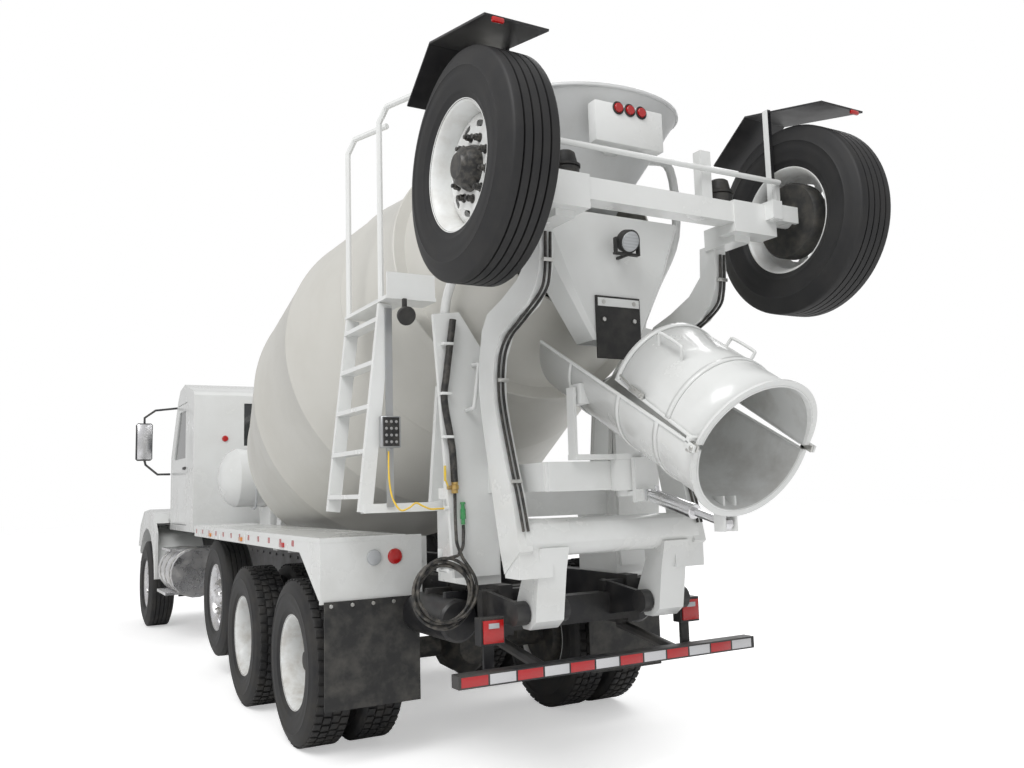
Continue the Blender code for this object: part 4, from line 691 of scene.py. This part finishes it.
# ------------------------------------------------------------------ mixing drum
# Rolled steel cones and a cylinder welded ring to ring, about ten cubic metres, with a hardened roller ring
# near its mouth. It is painted cream white and carries a film of cement dust.
DRUM_TOP = Vector((0.0, TRUCK_Y + 2.510, 1.990))
DRUM_TILT = math.radians(15.7)
SHELL = [(4.250, 0.600), (3.6220, 0.795), (3.5320, 0.822), (2.973, 0.989), (2.202, 1.148), (1.252, 1.149),
         (0.0, 0.919), (-0.160, 0.700), (-0.300, 0.300)]
SEAM_STATIONS = (0.0, 1.252, 2.202, 2.973)
ROLLER_RING = (3.6220, 3.5320)
ROLLER_RADIUS = 0.875


def drum_turned(name, profile, steps, material, smooth=30):
    """A closed profile of (station, radius) turned about the drum's own axis."""
    made = spun(name, [(r, s) for s, r in profile], (0, 0, 0), 1, steps, material, smooth=smooth)
    along = Vector((0.0, -math.cos(DRUM_TILT), math.sin(DRUM_TILT)))
    side = Vector((1, 0, 0))
    turned_about = Matrix((along, side, along.cross(side))).transposed().to_4x4()
    made.data.transform(Matrix.Translation(DRUM_TOP) @ turned_about)
    return made


outline = []
for station, radius in SHELL:
    if station in SEAM_STATIONS:
        outline += [(station + 0.014, radius + 0.0005), (station + 0.006, radius + 0.0035),
                    (station - 0.006, radius + 0.0035), (station - 0.014, radius + 0.0005)]
    elif station == ROLLER_RING[0]:
        outline += [(3.632, 0.793), (3.624, 0.800), (3.622, ROLLER_RADIUS - 0.006), (3.617, ROLLER_RADIUS)]
    elif station == ROLLER_RING[1]:
        outline += [(3.537, ROLLER_RADIUS), (3.532, ROLLER_RADIUS - 0.006), (3.530, 0.828), (3.520, 0.826)]
    else:
        outline.append((station, radius))
outline += [(-0.340, 0.290), (-0.360, 0.270), (-0.360, 0.0), (-0.28, 0.0)]
inner_wall = [(-0.288, 0.288)] + [(s, r - 0.012) for s, r in reversed(SHELL[1:8])] + [(4.250, 0.588)]
drum_paint = coated("drum_paint", (0.60, 0.59, 0.55), 0.36, dust=(0.50, 0.485, 0.44), amount=0.35,
                    low_down=0.1, scale=1.6, bump=0.06)
drum = drum_turned("mixing_drum", outline + inner_wall, 144, drum_paint)
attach(drum, "drum")
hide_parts("drum")

# ------------------------------------------------------------------ pedestals, hoppers and collector
# Welded plate carriers for the drum's two ends, the charge hopper on its round legs and the Y-shaped
# collector below it, all in gloss white with a little cement film.
white_paint = coated("gloss_white", (0.76, 0.77, 0.76), 0.24, dust=(0.50, 0.49, 0.45), amount=0.16,
                     low_down=0.22, scale=2.6, bump=0.05, coat=0.25, dust_roughness=0.55)
hopper_grey = coated("hopper_paint", (0.66, 0.67, 0.67), 0.30, dust=(0.46, 0.45, 0.42), amount=0.30,
                     low_down=0.0, scale=3.5, bump=0.08, coat=0.15)
rubber_black = coated("moulded_rubber", (0.020, 0.020, 0.020), 0.6, dust=(0.10, 0.095, 0.085), amount=0.4,
                      low_down=0.4, scale=9.0, bump=0.3)
dressed("front_pedestal", "chassis", white_paint, 0.004)
dressed("rear_pedestal", "chassis", white_paint, 0.004)
dressed("discharge_hopper", "chassis", white_paint, 0.003)
dressed("rubber_flap", "chassis", rubber_black, 0.002)
FACE_Y = TRUCK_Y - 1.3873  # rear face of the pedestal's wing plates
for sign in (-1, 1):
    for z in (2.565, 2.470):
        fitted("flap_bolt", "chassis", plated, "cast_iron",
               (round_bar, 0.013, (sign * 0.100, TRUCK_Y - 2.0132, z), (sign * 0.100, TRUCK_Y - 2.0232, z),
                6))
fitted("flap_strap", "chassis", white_paint, "white_paint",
       (worn_block, (0.270, 0.006, 0.045), (0, TRUCK_Y - 2.0165, 2.565)))

# The charge hopper is an oval funnel with a rounded rim, carried over the drum's mouth on two bent legs.
HOPPER_RINGS = [(-1.720, 3.100, 0.170, 0.130), (-1.750, 3.230, 0.245, 0.170), (-1.780, 3.360, 0.330, 0.220),
                (-1.805, 3.530, 0.440, 0.302), (-1.830, 3.692, 0.542, 0.383), (-1.830, 3.700, 0.549, 0.389)]
RING_STEPS = 96
funnel_build = bmesh.new()
funnel_rows = []
for y, z, half_wide, half_deep in HOPPER_RINGS:
    funnel_rows.append([funnel_build.verts.new((
        half_wide * math.cos(2 * math.pi * k / RING_STEPS),
        TRUCK_Y + y + half_deep * math.sin(2 * math.pi * k / RING_STEPS),
        z,
    )) for k in range(RING_STEPS)])
for here, there in zip(funnel_rows, funnel_rows[1:]):
    for k in range(RING_STEPS):
        m = (k + 1) % RING_STEPS
        funnel_build.faces.new((here[k], here[m], there[m], there[k]))
funnel = shape("charge_hopper_funnel", funnel_build, 50)
funnel.data.materials.append(hopper_grey)
settled(funnel, ("wall", "SOLIDIFY", {"thickness": 0.010, "offset": -1.0}))
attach(funnel, "chassis")
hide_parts("charge_hopper")
rim_points = [Vector((0.540 * math.cos(2 * math.pi * k / RING_STEPS),
                      TRUCK_Y - 1.830 + 0.380 * math.sin(2 * math.pi * k / RING_STEPS), 3.690))
              for k in range(RING_STEPS)]
hopper_rim = bar("charge_hopper_rim", rim_points, 0.010, hopper_grey, cyclic=True)
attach(hopper_rim, "chassis")
LEG_X, LEG_BACK = 0.700, 1.304
for sign in (-1, 1):
    leg_route = [(sign * LEG_X, TRUCK_Y - LEG_BACK, 1.600), (sign * LEG_X, TRUCK_Y - LEG_BACK, 2.200),
                 (sign * LEG_X, TRUCK_Y - LEG_BACK, 2.600), (sign * LEG_X, TRUCK_Y - 1.450, 2.810),
                 (sign * LEG_X, TRUCK_Y - 1.680, 3.100), (sign * 0.600, TRUCK_Y - 1.780, 3.480),
                 (sign * 0.400, TRUCK_Y - 1.800, 3.505)]
    leg = bar("charge_hopper_leg", smooth_way(leg_route, 5), 0.027, white_paint, 5)
    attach(leg, "chassis")
fitted("lamp_case", "chassis", white_paint, "white_paint",
       (worn_block, (0.440, 0.070, 0.220), (-0.040, TRUCK_Y - 2.205, 3.470), None, 0.1),
       (worn_block, (0.080, 0.160, 0.050), (-0.040, TRUCK_Y - 2.115, 3.400)))

# Three round clearance lamps on top of the lamp box, and a work lamp in its bracket on the collector.
for x in (-0.115, -0.040, 0.035):
    fitted("clearance_lamp", "chassis", red_lens, "dark_trim",
           (round_bar, 0.028, (x, TRUCK_Y - 2.240, 3.555), (x, TRUCK_Y - 2.256, 3.555), 24, 0.024))
    grommet = spun("lamp_grommet", [(0.034, 0.0), (0.036, 0.004), (0.032, 0.008), (0.027, 0.006),
                                    (0.027, 0.0)],
                   (0, 0, 0), 1, 24, rubber_black)
    grommet.data.transform(Matrix.Translation((x, TRUCK_Y - 2.240, 3.555))
                           @ Matrix.Rotation(math.radians(-90), 4, "Z"))
    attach(grommet, "chassis")
lamp_sides = [(worn_block, (0.010, 0.028, 0.090), (0.020 + x, TRUCK_Y - 2.085, 2.862))
              for x in (-0.074, 0.074)]
fitted("work_lamp", "chassis", rubber_black, "dark_trim",
       (round_bar, 0.060, (0.020, TRUCK_Y - 2.070, 2.900), (0.020, TRUCK_Y - 2.120, 2.880), 28, 0.066),
       (worn_block, (0.160, 0.030, 0.012), (0.020, TRUCK_Y - 2.080, 2.822)),
       *lamp_sides,
       (worn_block, (0.020, 0.110, 0.014), (0.020, TRUCK_Y - 2.035, 2.818)))
fitted("work_lamp_glass", "chassis", clear_lens, "dark_trim",
       (round_bar, 0.056, (0.020, TRUCK_Y - 2.118, 2.881), (0.020, TRUCK_Y - 2.127, 2.877), 28, 0.050))

# Grab handles bent from round bar and welded to the pedestal's left and right wings.
for sign in (-1, 1):
    grab = [(sign * 0.560, FACE_Y + 0.020, 2.290), (sign * 0.560, FACE_Y - 0.055, 2.285),
            (sign * 0.572, FACE_Y - 0.070, 2.260), (sign * 0.600, FACE_Y - 0.070, 2.060),
            (sign * 0.608, FACE_Y - 0.055, 2.035), (sign * 0.608, FACE_Y + 0.020, 2.030)]
    handle = bar("grab_handle", smooth_way(grab, 4), 0.012, white_paint)
    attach(handle, "chassis")

# ------------------------------------------------------------------ water line, valve and keypad
# Black rubber water hose clipped to the pedestal, a brass ball valve with a yellow lever, and the sealed
# keypad in its aluminium case with twelve grey buttons.
brass = coated("valve_brass", (0.62, 0.42, 0.14), 0.32, amount=0.3, scale=30.0, metallic=1.0)
lever_yellow = coated("lever_sleeve", (0.80, 0.55, 0.03), 0.4, amount=0.2, scale=30.0)
VALVE_X = -0.700
water_route = [(-0.690, FACE_Y, 2.540), (-0.735, FACE_Y, 2.235), (-0.752, FACE_Y, 2.080),
               (-0.712, FACE_Y, 1.830), (VALVE_X, FACE_Y, 1.632)]
water_line = bar("water_supply_hose", smooth_way(water_route, 6), 0.020, hose_rubber, 5)
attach(water_line, "chassis")
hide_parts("water_line")
fitted("ball_valve", "chassis", brass, "polished_aluminium",
       (round_bar, 0.019, (VALVE_X, FACE_Y, 1.570), (VALVE_X, FACE_Y, 1.590), 8),
       (round_bar, 0.023, (VALVE_X, FACE_Y, 1.589), (VALVE_X, FACE_Y, 1.616), 20),
       (round_bar, 0.019, (VALVE_X, FACE_Y, 1.615), (VALVE_X, FACE_Y, 1.636), 8),
       (round_bar, 0.011, (-0.722, FACE_Y, 1.602), (-0.745, FACE_Y, 1.602), 10))
fitted("valve_lever", "chassis", lever_yellow, "yellow_sheath",
       (worn_block, (0.004, 0.016, 0.050), (-0.746, FACE_Y, 1.622),
        Matrix.Rotation(math.radians(-20), 3, "Y")),
       (worn_block, (0.007, 0.020, 0.085), (-0.757, FACE_Y, 1.680)))
for height in (2.40, 2.12, 1.88):
    share = (2.540 - height) / 0.708
    clip_x = -0.690 - 0.062 * math.sin(math.pi * min(share, 0.65) / 0.9)
    fitted("hose_clip", "chassis", white_paint, "white_paint",
           (worn_block, (0.062, 0.050, 0.016), (clip_x, FACE_Y, height)))
dressed("keypad", "chassis", coated("keypad_case", (0.42, 0.43, 0.44), 0.35, amount=0.2, scale=20.0,
                                    metallic=0.6),
        0.004)
fitted("keypad_face", "chassis", coated("keypad_membrane", (0.012, 0.012, 0.013), 0.4, amount=0.1,
                                        scale=30.0), "dark_trim",
       (worn_block, (0.094, 0.004, 0.160), (-1.018, TRUCK_Y - 1.2633, 1.916)))
button_grey = coated("button_grey", (0.30, 0.30, 0.30), 0.5, amount=0.2, scale=30.0)
for line in range(3):
    fitted("keypad_buttons", "chassis", button_grey, "dark_trim",
           (round_bar, 0.0085, (0, 0, 0), (0, -0.004, 0), 16, 0.007),
           tree=row_of, count=4, start=(-1.047 + 0.029 * line, TRUCK_Y - 1.2652, 1.860), step=(0, 0, 0.037))
fitted("hose_hook", "chassis", white_paint, "white_paint",
       (worn_block, (0.030, 0.004, 0.120), (-0.790, TRUCK_Y - 1.380, 1.215)))

# ------------------------------------------------------------------ ladder, platform, decks and mud flaps
# White ladder with flat treads and bent tube hand rails; folded plate decks over the wheels with reflective
# squares along their edge; black rubber mud flaps bolted under the decks' rear panels.
for node in ("ladder", "platform", "deck_left", "deck_right"):
    dressed(node, "chassis", white_paint, 0.003)
for side, sign in (("left", -1), ("right", 1)):
    dressed(f"mud_flap_{side}", "chassis", rubber_black, 0.002)
    fitted("mud_flap_bolts", "chassis", plated, "cast_iron",
           (round_bar, 0.012, (0, 0, 0), (0, -0.010, 0), 6),
           tree=row_of, count=5, start=(sign * 0.919 - 0.26, TRUCK_Y - 0.688, 0.935), step=(0.13, 0, 0))
    fitted("deck_tape", "chassis", tape_red, "dark_trim",
           (worn_block, (0.001, 0.048, 0.048), (0, 0, 0)),
           tree=row_of, count=12, start=(sign * 1.2388, TRUCK_Y - 0.10, 1.285), step=(0, 0.30, 0))
    for share, glow in ((0.15, red_lens), (1.35, amber_lens), (2.55, amber_lens)):
        fitted("side_marker", "chassis", glow, "dark_trim",
               (worn_block, (0.012, 0.100, 0.032), (sign * 1.2430, TRUCK_Y + share, 1.262), None, 0.4))
    for x, glow in ((0.770, red_lens), (0.905, clear_lens)):
        fitted("deck_lamp", "chassis", glow, "dark_trim",
               (round_bar, 0.048, (sign * x, TRUCK_Y - 0.672, 1.200), (sign * x, TRUCK_Y - 0.686, 1.200), 32,
                0.042))
fitted("step_lamp", "chassis", rubber_black, "dark_trim",
       (round_bar, 0.045, (-0.960, TRUCK_Y - 1.330, 2.560), (-0.960, TRUCK_Y - 1.370, 2.545), 28, 0.055),
       (worn_block, (0.024, 0.024, 0.060), (-0.960, TRUCK_Y - 1.335, 2.620)))

# ------------------------------------------------------------------ water tank, fuel tanks and cab
# A white pressed cab on rubber mounts with tinted glass, a polished bumper and fuel tanks, and the white
# water tank with its straps and sight tube across the frame behind it.
alloy = coated("bright_alloy", (0.74, 0.74, 0.76), 0.22, amount=0.2, scale=6.0, metallic=1.0)
glass = coated("tinted_glass", (0.020, 0.024, 0.026), 0.06, dust=(0.12, 0.12, 0.11), amount=0.12,
               low_down=0.0, scale=3.0, bump=0.0, coat=0.5, dust_roughness=0.4)
trim = coated("cab_trim", (0.035, 0.036, 0.040), 0.7, amount=0.2, scale=12.0, bump=0.4)


def door_pane(build, sign):
    """The glass of one door, in this build."""
    corners = [(5.035, 2.045), (5.035, 2.625), (5.508, 2.625), (5.855, 2.095), (5.855, 2.045)]
    near, far = ([build.verts.new((sign * x, TRUCK_Y + y, z)) for y, z in corners] for x in (1.016, 1.021))
    build.faces.new(near)
    build.faces.new(list(reversed(far)))
    for k in range(len(corners)):
        m = (k + 1) % len(corners)
        build.faces.new((near[k], far[k], far[m], near[m]))


dressed("water_tank", "chassis", white_paint, 0.004, 30)
dressed("cab_shell", "chassis", white_paint, 0.010)
dressed("cab_interior", "chassis", trim, 0.006)
dressed("hood", "hood", white_paint, 0.008)
dressed("front_bumper", "chassis", alloy, 0.008)
for side, sign in (("left", -1), ("right", 1)):
    dressed(f"fuel_tank_{side}", "chassis", alloy, 0.004, 30)
    dressed(f"cab_door_{side}", f"cab_door_{side}", white_paint, 0.005)
    dressed(f"mirror_{side}", "chassis", trim, 0.006)
    fitted("mirror_glass", "chassis", alloy, "polished_aluminium",
           (worn_block, (0.165, 0.002, 0.430), (sign * 1.361, TRUCK_Y + 6.003, 2.300)))
    fitted("door_glass", f"cab_door_{side}", glass, "dark_trim", (door_pane, sign))
    fitted("door_handle", f"cab_door_{side}", trim, "dark_trim",
           (worn_block, (0.020, 0.150, 0.030), (sign * 1.048, TRUCK_Y + 5.07, 1.940), None, 0.3))
    tank_strap = spun("tank_strap", [(0.2655, -0.030), (0.2685, -0.028), (0.2685, 0.028), (0.2655, 0.030)],
                      (0, 0, 0), 1, 48, plated)
    tank_strap.data.transform(Matrix.Rotation(math.radians(90), 4, "Z"))
    repeated(tank_strap, row_of, count=3, start=(sign * 0.965, TRUCK_Y + 4.85, 0.770), step=(0, 0.325, 0),
             material=plated)
    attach(tank_strap, "chassis")
    fitted("headlamp", "hood", clear_lens, "dark_trim",
           (worn_block, (0.300, 0.020, 0.150), (sign * 0.930, TRUCK_Y + 7.425, 1.125),
            Matrix.Rotation(math.radians(27), 3, "X"), 0.3))
fitted("windscreen", "chassis", glass, "dark_trim",
       (worn_block, (1.800, 0.006, 0.700), (0, TRUCK_Y + 5.810, 2.418),
        Matrix.Rotation(math.radians(34.9), 3, "X"), 0.05))
fitted("rear_glass", "chassis", glass, "dark_trim",
       (worn_block, (0.790, 0.006, 0.510), (-0.110, TRUCK_Y + 4.566, 2.410)))
fitted("cab_marker", "chassis", red_lens, "dark_trim",
       (round_bar, 0.036, (-0.700, TRUCK_Y + 4.546, 2.250), (-0.700, TRUCK_Y + 4.526, 2.250), 24, 0.030))
fitted("grille_slats", "hood", alloy, "polished_aluminium",
       (worn_block, (0.900, 0.014, 0.018), (0, 0, 0), None, 0.3),
       tree=row_of, count=13, start=(0, TRUCK_Y + 7.522, 0.960), step=(0, -0.0006, 0.045))
for sign in (-1, 1):
    fitted("grille_frame", "hood", alloy, "polished_aluminium",
           (worn_block, (0.040, 0.018, 0.600), (sign * 0.455, TRUCK_Y + 7.520, 1.230), None, 0.3))
fitted("roof_lamps", "chassis", amber_lens, "dark_trim",
       (worn_block, (0.090, 0.050, 0.030), (0, 0, 0), None, 0.35),
       tree=row_of, count=5, start=(-0.70, TRUCK_Y + 5.30, 2.920), step=(0.35, 0, 0))
tank_band = spun("water_tank_band", [(0.3055, -0.030), (0.3090, -0.028), (0.3090, 0.028), (0.3055, 0.030)],
                 (0, 0, 0), 1, 64, plated)
repeated(tank_band, row_of, count=3, start=(-0.45, TRUCK_Y + 3.760, 1.790), step=(0.45, 0, 0),
         material=plated)
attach(tank_band, "chassis")
sight_tube = bar("sight_tube", smooth_way([(-0.62, TRUCK_Y + 3.60, 1.47), (-0.62, TRUCK_Y + 3.44, 1.50),
                                            (-0.62, TRUCK_Y + 3.43, 1.79), (-0.62, TRUCK_Y + 3.44, 2.07),
                                            (-0.62, TRUCK_Y + 3.60, 2.10)], 5), 0.010, clear_lens)
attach(sight_tube, "chassis")

# ------------------------------------------------------------------ booster axle
# White box-section arms fold the trailing axle up behind the hopper. Its knuckles carry black folded guards
# over the wheels; brake hoses are clipped along the arms.
dressed("booster_frame", "booster_frame", white_paint, 0.008)
dressed("booster_tie_rod", "booster_tie_rod", white_paint, 0.002)
GUARD_FOOT = 3.42  # above this the knuckle piece is its black wheel guard
LINES_X = 0.566
for side, sign in (("left", -1), ("right", 1)):
    knuckle = dressed(f"booster_knuckle_{side}", f"booster_knuckle_{side}", white_paint, 0.002)
    knuckle.data.materials.append(black_paint)
    for face in knuckle.data.polygons:
        face.material_index = int(face.center.z > GUARD_FOOT)
    fitted("guard_marker", f"booster_knuckle_{side}", red_lens, "dark_trim",
           (worn_block, (0.060, 0.020, 0.024), (sign * 1.100, TRUCK_Y - 2.738, 3.562), None, 0.4))
    fitted("brake_chamber", "booster_frame", cast_finish, "cast_iron",
           (round_bar, 0.072, (sign * 0.500, TRUCK_Y - 2.300, 3.080), (sign * 0.500, TRUCK_Y - 2.300, 3.150),
            28),
           (round_bar, 0.078, (sign * 0.500, TRUCK_Y - 2.300, 3.148), (sign * 0.500, TRUCK_Y - 2.300, 3.162),
            28),
           (round_bar, 0.066, (sign * 0.500, TRUCK_Y - 2.300, 3.160), (sign * 0.500, TRUCK_Y - 2.300, 3.230),
            28, 0.050))
    for k in (-1, 1):
        x = sign * (LINES_X + 0.014 * k)
        line = [(x, TRUCK_Y - 2.226, 2.840), (x, TRUCK_Y - 2.209, 2.640), (x, TRUCK_Y - 2.150, 2.545),
                (x, TRUCK_Y - 1.930, 2.440), (x, TRUCK_Y - 1.800, 2.378), (x, TRUCK_Y - 1.722, 2.270),
                (x, TRUCK_Y - 1.707, 2.060), (x, TRUCK_Y - 1.798, 1.752), (x, TRUCK_Y - 1.874, 1.540),
                (x, TRUCK_Y - 1.925, 1.370)]
        brake_line = bar("arm_air_line", smooth_way(line, 5), 0.0075, hose_rubber)
        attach(brake_line, "booster_frame")
    for y, z, slant in ((-2.214, 2.700, 5), (-1.728, 2.160, 0), (-1.840, 1.620, -20)):
        fitted("line_clamp", "booster_frame", plated, "cast_iron",
               (worn_block, (0.060, 0.022, 0.020), (sign * LINES_X, TRUCK_Y + y - 0.004, z),
                Matrix.Rotation(math.radians(slant), 3, "X")))

# ------------------------------------------------------------------ chute
# Half pipes rolled from wear plate with flanged mouths. The extension lies upside down on the main chute,
# turns on two pins and is held by over-centre latches; its inside is stained by concrete.
PINS = Vector((0.0, TRUCK_Y - 2.970, 1.731))
MAIN_SLOPE, FLIP_SLOPE = 27.8, 31.0
# each (body, slope in degrees, length, which way its mouth opens, lean of its flange)
CHUTE_PARTS = (("main_chute", MAIN_SLOPE, 1.430, 1, 0.0), ("flip_chute", FLIP_SLOPE, 0.690, -1, 0.1275))
EDGE_DROP = 0.012
ARC_STEPS = 44
chute_inside = coated("chute_lining", (0.55, 0.56, 0.55), 0.55, dust=(0.36, 0.35, 0.33), amount=0.75,
                      low_down=0.3, scale=5.0, bump=0.5)


def arc_strip(radius, stations, over, lean):
    """A half pipe's surface between stations along it, in the chute's own frame."""
    build = bmesh.new()
    rows = []
    for station in stations:
        row = []
        for k in range(ARC_STEPS + 1):
            angle = math.pi * k / ARC_STEPS
            x, z = -radius * math.cos(angle), -radius * math.sin(angle)
            back = -z * lean if station == stations[0] else 0.0
            row.append(build.verts.new((x, station - back, over * (z - EDGE_DROP))))
        rows.append(row)
    for here, there in zip(rows, rows[1:]):
        for k in range(ARC_STEPS):
            build.faces.new((here[k], here[k + 1], there[k + 1], there[k]))
    return build


def seated(made, slope, body):
    """Turns a piece from the chute's own frame to its slope and place between the pins."""
    made.data.transform(Matrix.Translation(PINS) @ Matrix.Rotation(math.radians(slope), 4, "X"))
    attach(made, body)
    return made


for body, slope, length, over, lean in CHUTE_PARTS:
    lines = [0.003, 0.15, 0.30, length + 0.003]
    trough = shape(f"{body}_trough", arc_strip(0.300, lines, over, lean), 40)
    trough.data.materials.append(white_paint)
    settled(trough, ("wall", "SOLIDIFY", {"thickness": 0.0078, "offset": 0.0}))
    seated(trough, slope, body)
    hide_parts(body)
    lining = shape(f"{body}_lining", arc_strip(0.2945, [0.012, length], over, 0.0), 40)
    lining.data.materials.append(chute_inside)
    settled(lining, ("wall", "SOLIDIFY", {"thickness": 0.0020, "offset": 0.0}))
    seated(lining, slope, body)
    flange = bmesh.new()
    for y in (0.006, 0.018):
        for k in range(ARC_STEPS + 1):
            angle = math.pi * k / ARC_STEPS
            for radius in (0.2985, 0.3295):
                z = over * (-radius * math.sin(angle) - EDGE_DROP)
                flange.verts.new((-radius * math.cos(angle), y - abs(z) * lean, z))
    flange.verts.ensure_lookup_table()
    count = 2 * (ARC_STEPS + 1)
    for k in range(ARC_STEPS):
        a, b, c, d = 2 * k, 2 * k + 1, 2 * k + 3, 2 * k + 2
        for corners in ((a, b, c, d), (a + count, d + count, c + count, b + count),
                        (a, d, d + count, a + count), (b, b + count, c + count, c)):
            flange.faces.new([flange.verts[n] for n in corners])
    for k in (0, ARC_STEPS):
        flange.faces.new([flange.verts[n] for n in (2 * k, 2 * k + 1, 2 * k + 1 + count, 2 * k + count)])
    flange_ring = shape(f"{body}_flange", flange, 40)
    flange_ring.data.materials.append(white_paint)
    seated(flange_ring, slope, body)
    for station in (0.24, length - 0.03) if over == -1 else (0.30, 0.62, length - 0.35):
        rib = shape(f"{body}_rib", arc_strip(0.3075, [station, station + 0.030], over, 0.0), 40)
        rib.data.materials.append(white_paint)
        settled(rib, ("wall", "SOLIDIFY", {"thickness": 0.0070, "offset": 0.0}))
        seated(rib, slope, body)
    for sign in (-1, 1):
        edge_z = -over * EDGE_DROP
        edge = bar(f"{body}_edge", [(sign * 0.303, 0.03, edge_z), (sign * 0.303, length, edge_z)], 0.009,
                   white_paint)
        seated(edge, slope, body)
for sign in (-1, 1):
    main_ear = fitted("main_chute_ear", "main_chute", plated, "cast_iron",
                      (worn_block, (0.012, 0.066, 0.032), (sign * 0.337, 0.017, 0)),
                      (worn_block, (0.037, 0.024, 0.022), (sign * 0.3185, 0.036, -0.024)),
                      (worn_block, (0.012, 0.024, 0.030), (sign * 0.337, 0.038, -0.018)),
                      (round_bar, 0.010, (sign * 0.337, 0, 0), (sign * 0.366, 0, 0), 20))
    seated(main_ear, MAIN_SLOPE, "main_chute")
    flip_ear = fitted("flip_chute_ear", "flip_chute", white_paint, "white_paint",
                      (worn_block, (0.012, 0.066, 0.032), (sign * 0.3535, 0.017, 0)),
                      (worn_block, (0.054, 0.024, 0.018), (sign * 0.3265, 0.036, 0.029)),
                      (worn_block, (0.014, 0.022, 0.030), (sign * 0.3525, 0.038, 0.020)))
    seated(flip_ear, FLIP_SLOPE, "flip_chute")
    fitted("chute_trunnion", "main_chute", white_paint, "white_paint",
           (worn_block, (0.060, 0.110, 0.110), (sign * 0.284, TRUCK_Y - 2.030, 2.060)),
           (worn_block, (0.012, 0.070, 0.160), (sign * 0.034, TRUCK_Y - 2.760, 1.445)))
    grip = [(sign * 0.200, 0.400, 0.235), (sign * 0.220, 0.400, 0.290), (sign * 0.222, 0.420, 0.303),
            (sign * 0.222, 0.560, 0.303), (sign * 0.220, 0.580, 0.290), (sign * 0.200, 0.580, 0.235)]
    flip_grip = bar("flip_chute_grip", smooth_way(grip, 4), 0.008, white_paint)
    seated(flip_grip, FLIP_SLOPE, "flip_chute")
    latch = fitted("chute_latch", "flip_chute", plated, "cast_iron",
                   (worn_block, (0.014, 0.110, 0.030), (sign * 0.318, 0.500, 0.030), None, 0.25),
                   (round_bar, 0.010, (sign * 0.308, 0.460, 0.030), (sign * 0.336, 0.460, 0.030), 16),
                   (round_bar, 0.007, (sign * 0.326, 0.500, 0.030), (sign * 0.326, 0.640, 0.052), 12))
    seated(latch, FLIP_SLOPE, "flip_chute")

# ------------------------------------------------------------------ chute post and lift cylinder
# A pivot post with a forged yoke carries the chute; a single-acting hydraulic cylinder with a chromed rod
# lifts it.
dressed("chute_post", "chute_post", white_paint, 0.003)
CYLINDER_FOOT = Vector((0.0, TRUCK_Y - 2.225, 1.535))
ROD_EYE = Vector((0.0, TRUCK_Y - 2.760, 1.400))
cylinder_way = (ROD_EYE - CYLINDER_FOOT).normalized()
chrome = coated("hard_chrome", (0.80, 0.80, 0.82), 0.08, amount=0.1, scale=20.0, metallic=1.0, bump=0.0)
lift_barrel = fitted("lift_barrel", "lift_cylinder", rim_alloy, "polished_aluminium",
                     (round_bar, 0.0355, CYLINDER_FOOT + cylinder_way * 0.012,
                      CYLINDER_FOOT + cylinder_way * 0.318, 40),
                     (round_bar, 0.0375, CYLINDER_FOOT + cylinder_way * 0.300,
                      CYLINDER_FOOT + cylinder_way * 0.340, 40),
                     (round_bar, 0.0280, CYLINDER_FOOT - Vector((0.0295, 0, 0)),
                      CYLINDER_FOOT + Vector((0.0295, 0, 0)), 32),
                     (round_bar, 0.0120, CYLINDER_FOOT + cylinder_way * 0.050 + Vector((0, 0, 0.030)),
                      CYLINDER_FOOT + cylinder_way * 0.050 + Vector((0, 0, 0.060)), 16))
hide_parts("lift_cylinder")
lift_rod = fitted("lift_rod_bar", "lift_rod", chrome, "polished_aluminium",
                  (round_bar, 0.0197, CYLINDER_FOOT + cylinder_way * 0.147, ROD_EYE - cylinder_way * 0.012,
                   32),
                  (round_bar, 0.0300, ROD_EYE - Vector((0.022, 0, 0)), ROD_EYE + Vector((0.022, 0, 0)), 32))
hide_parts("lift_rod")
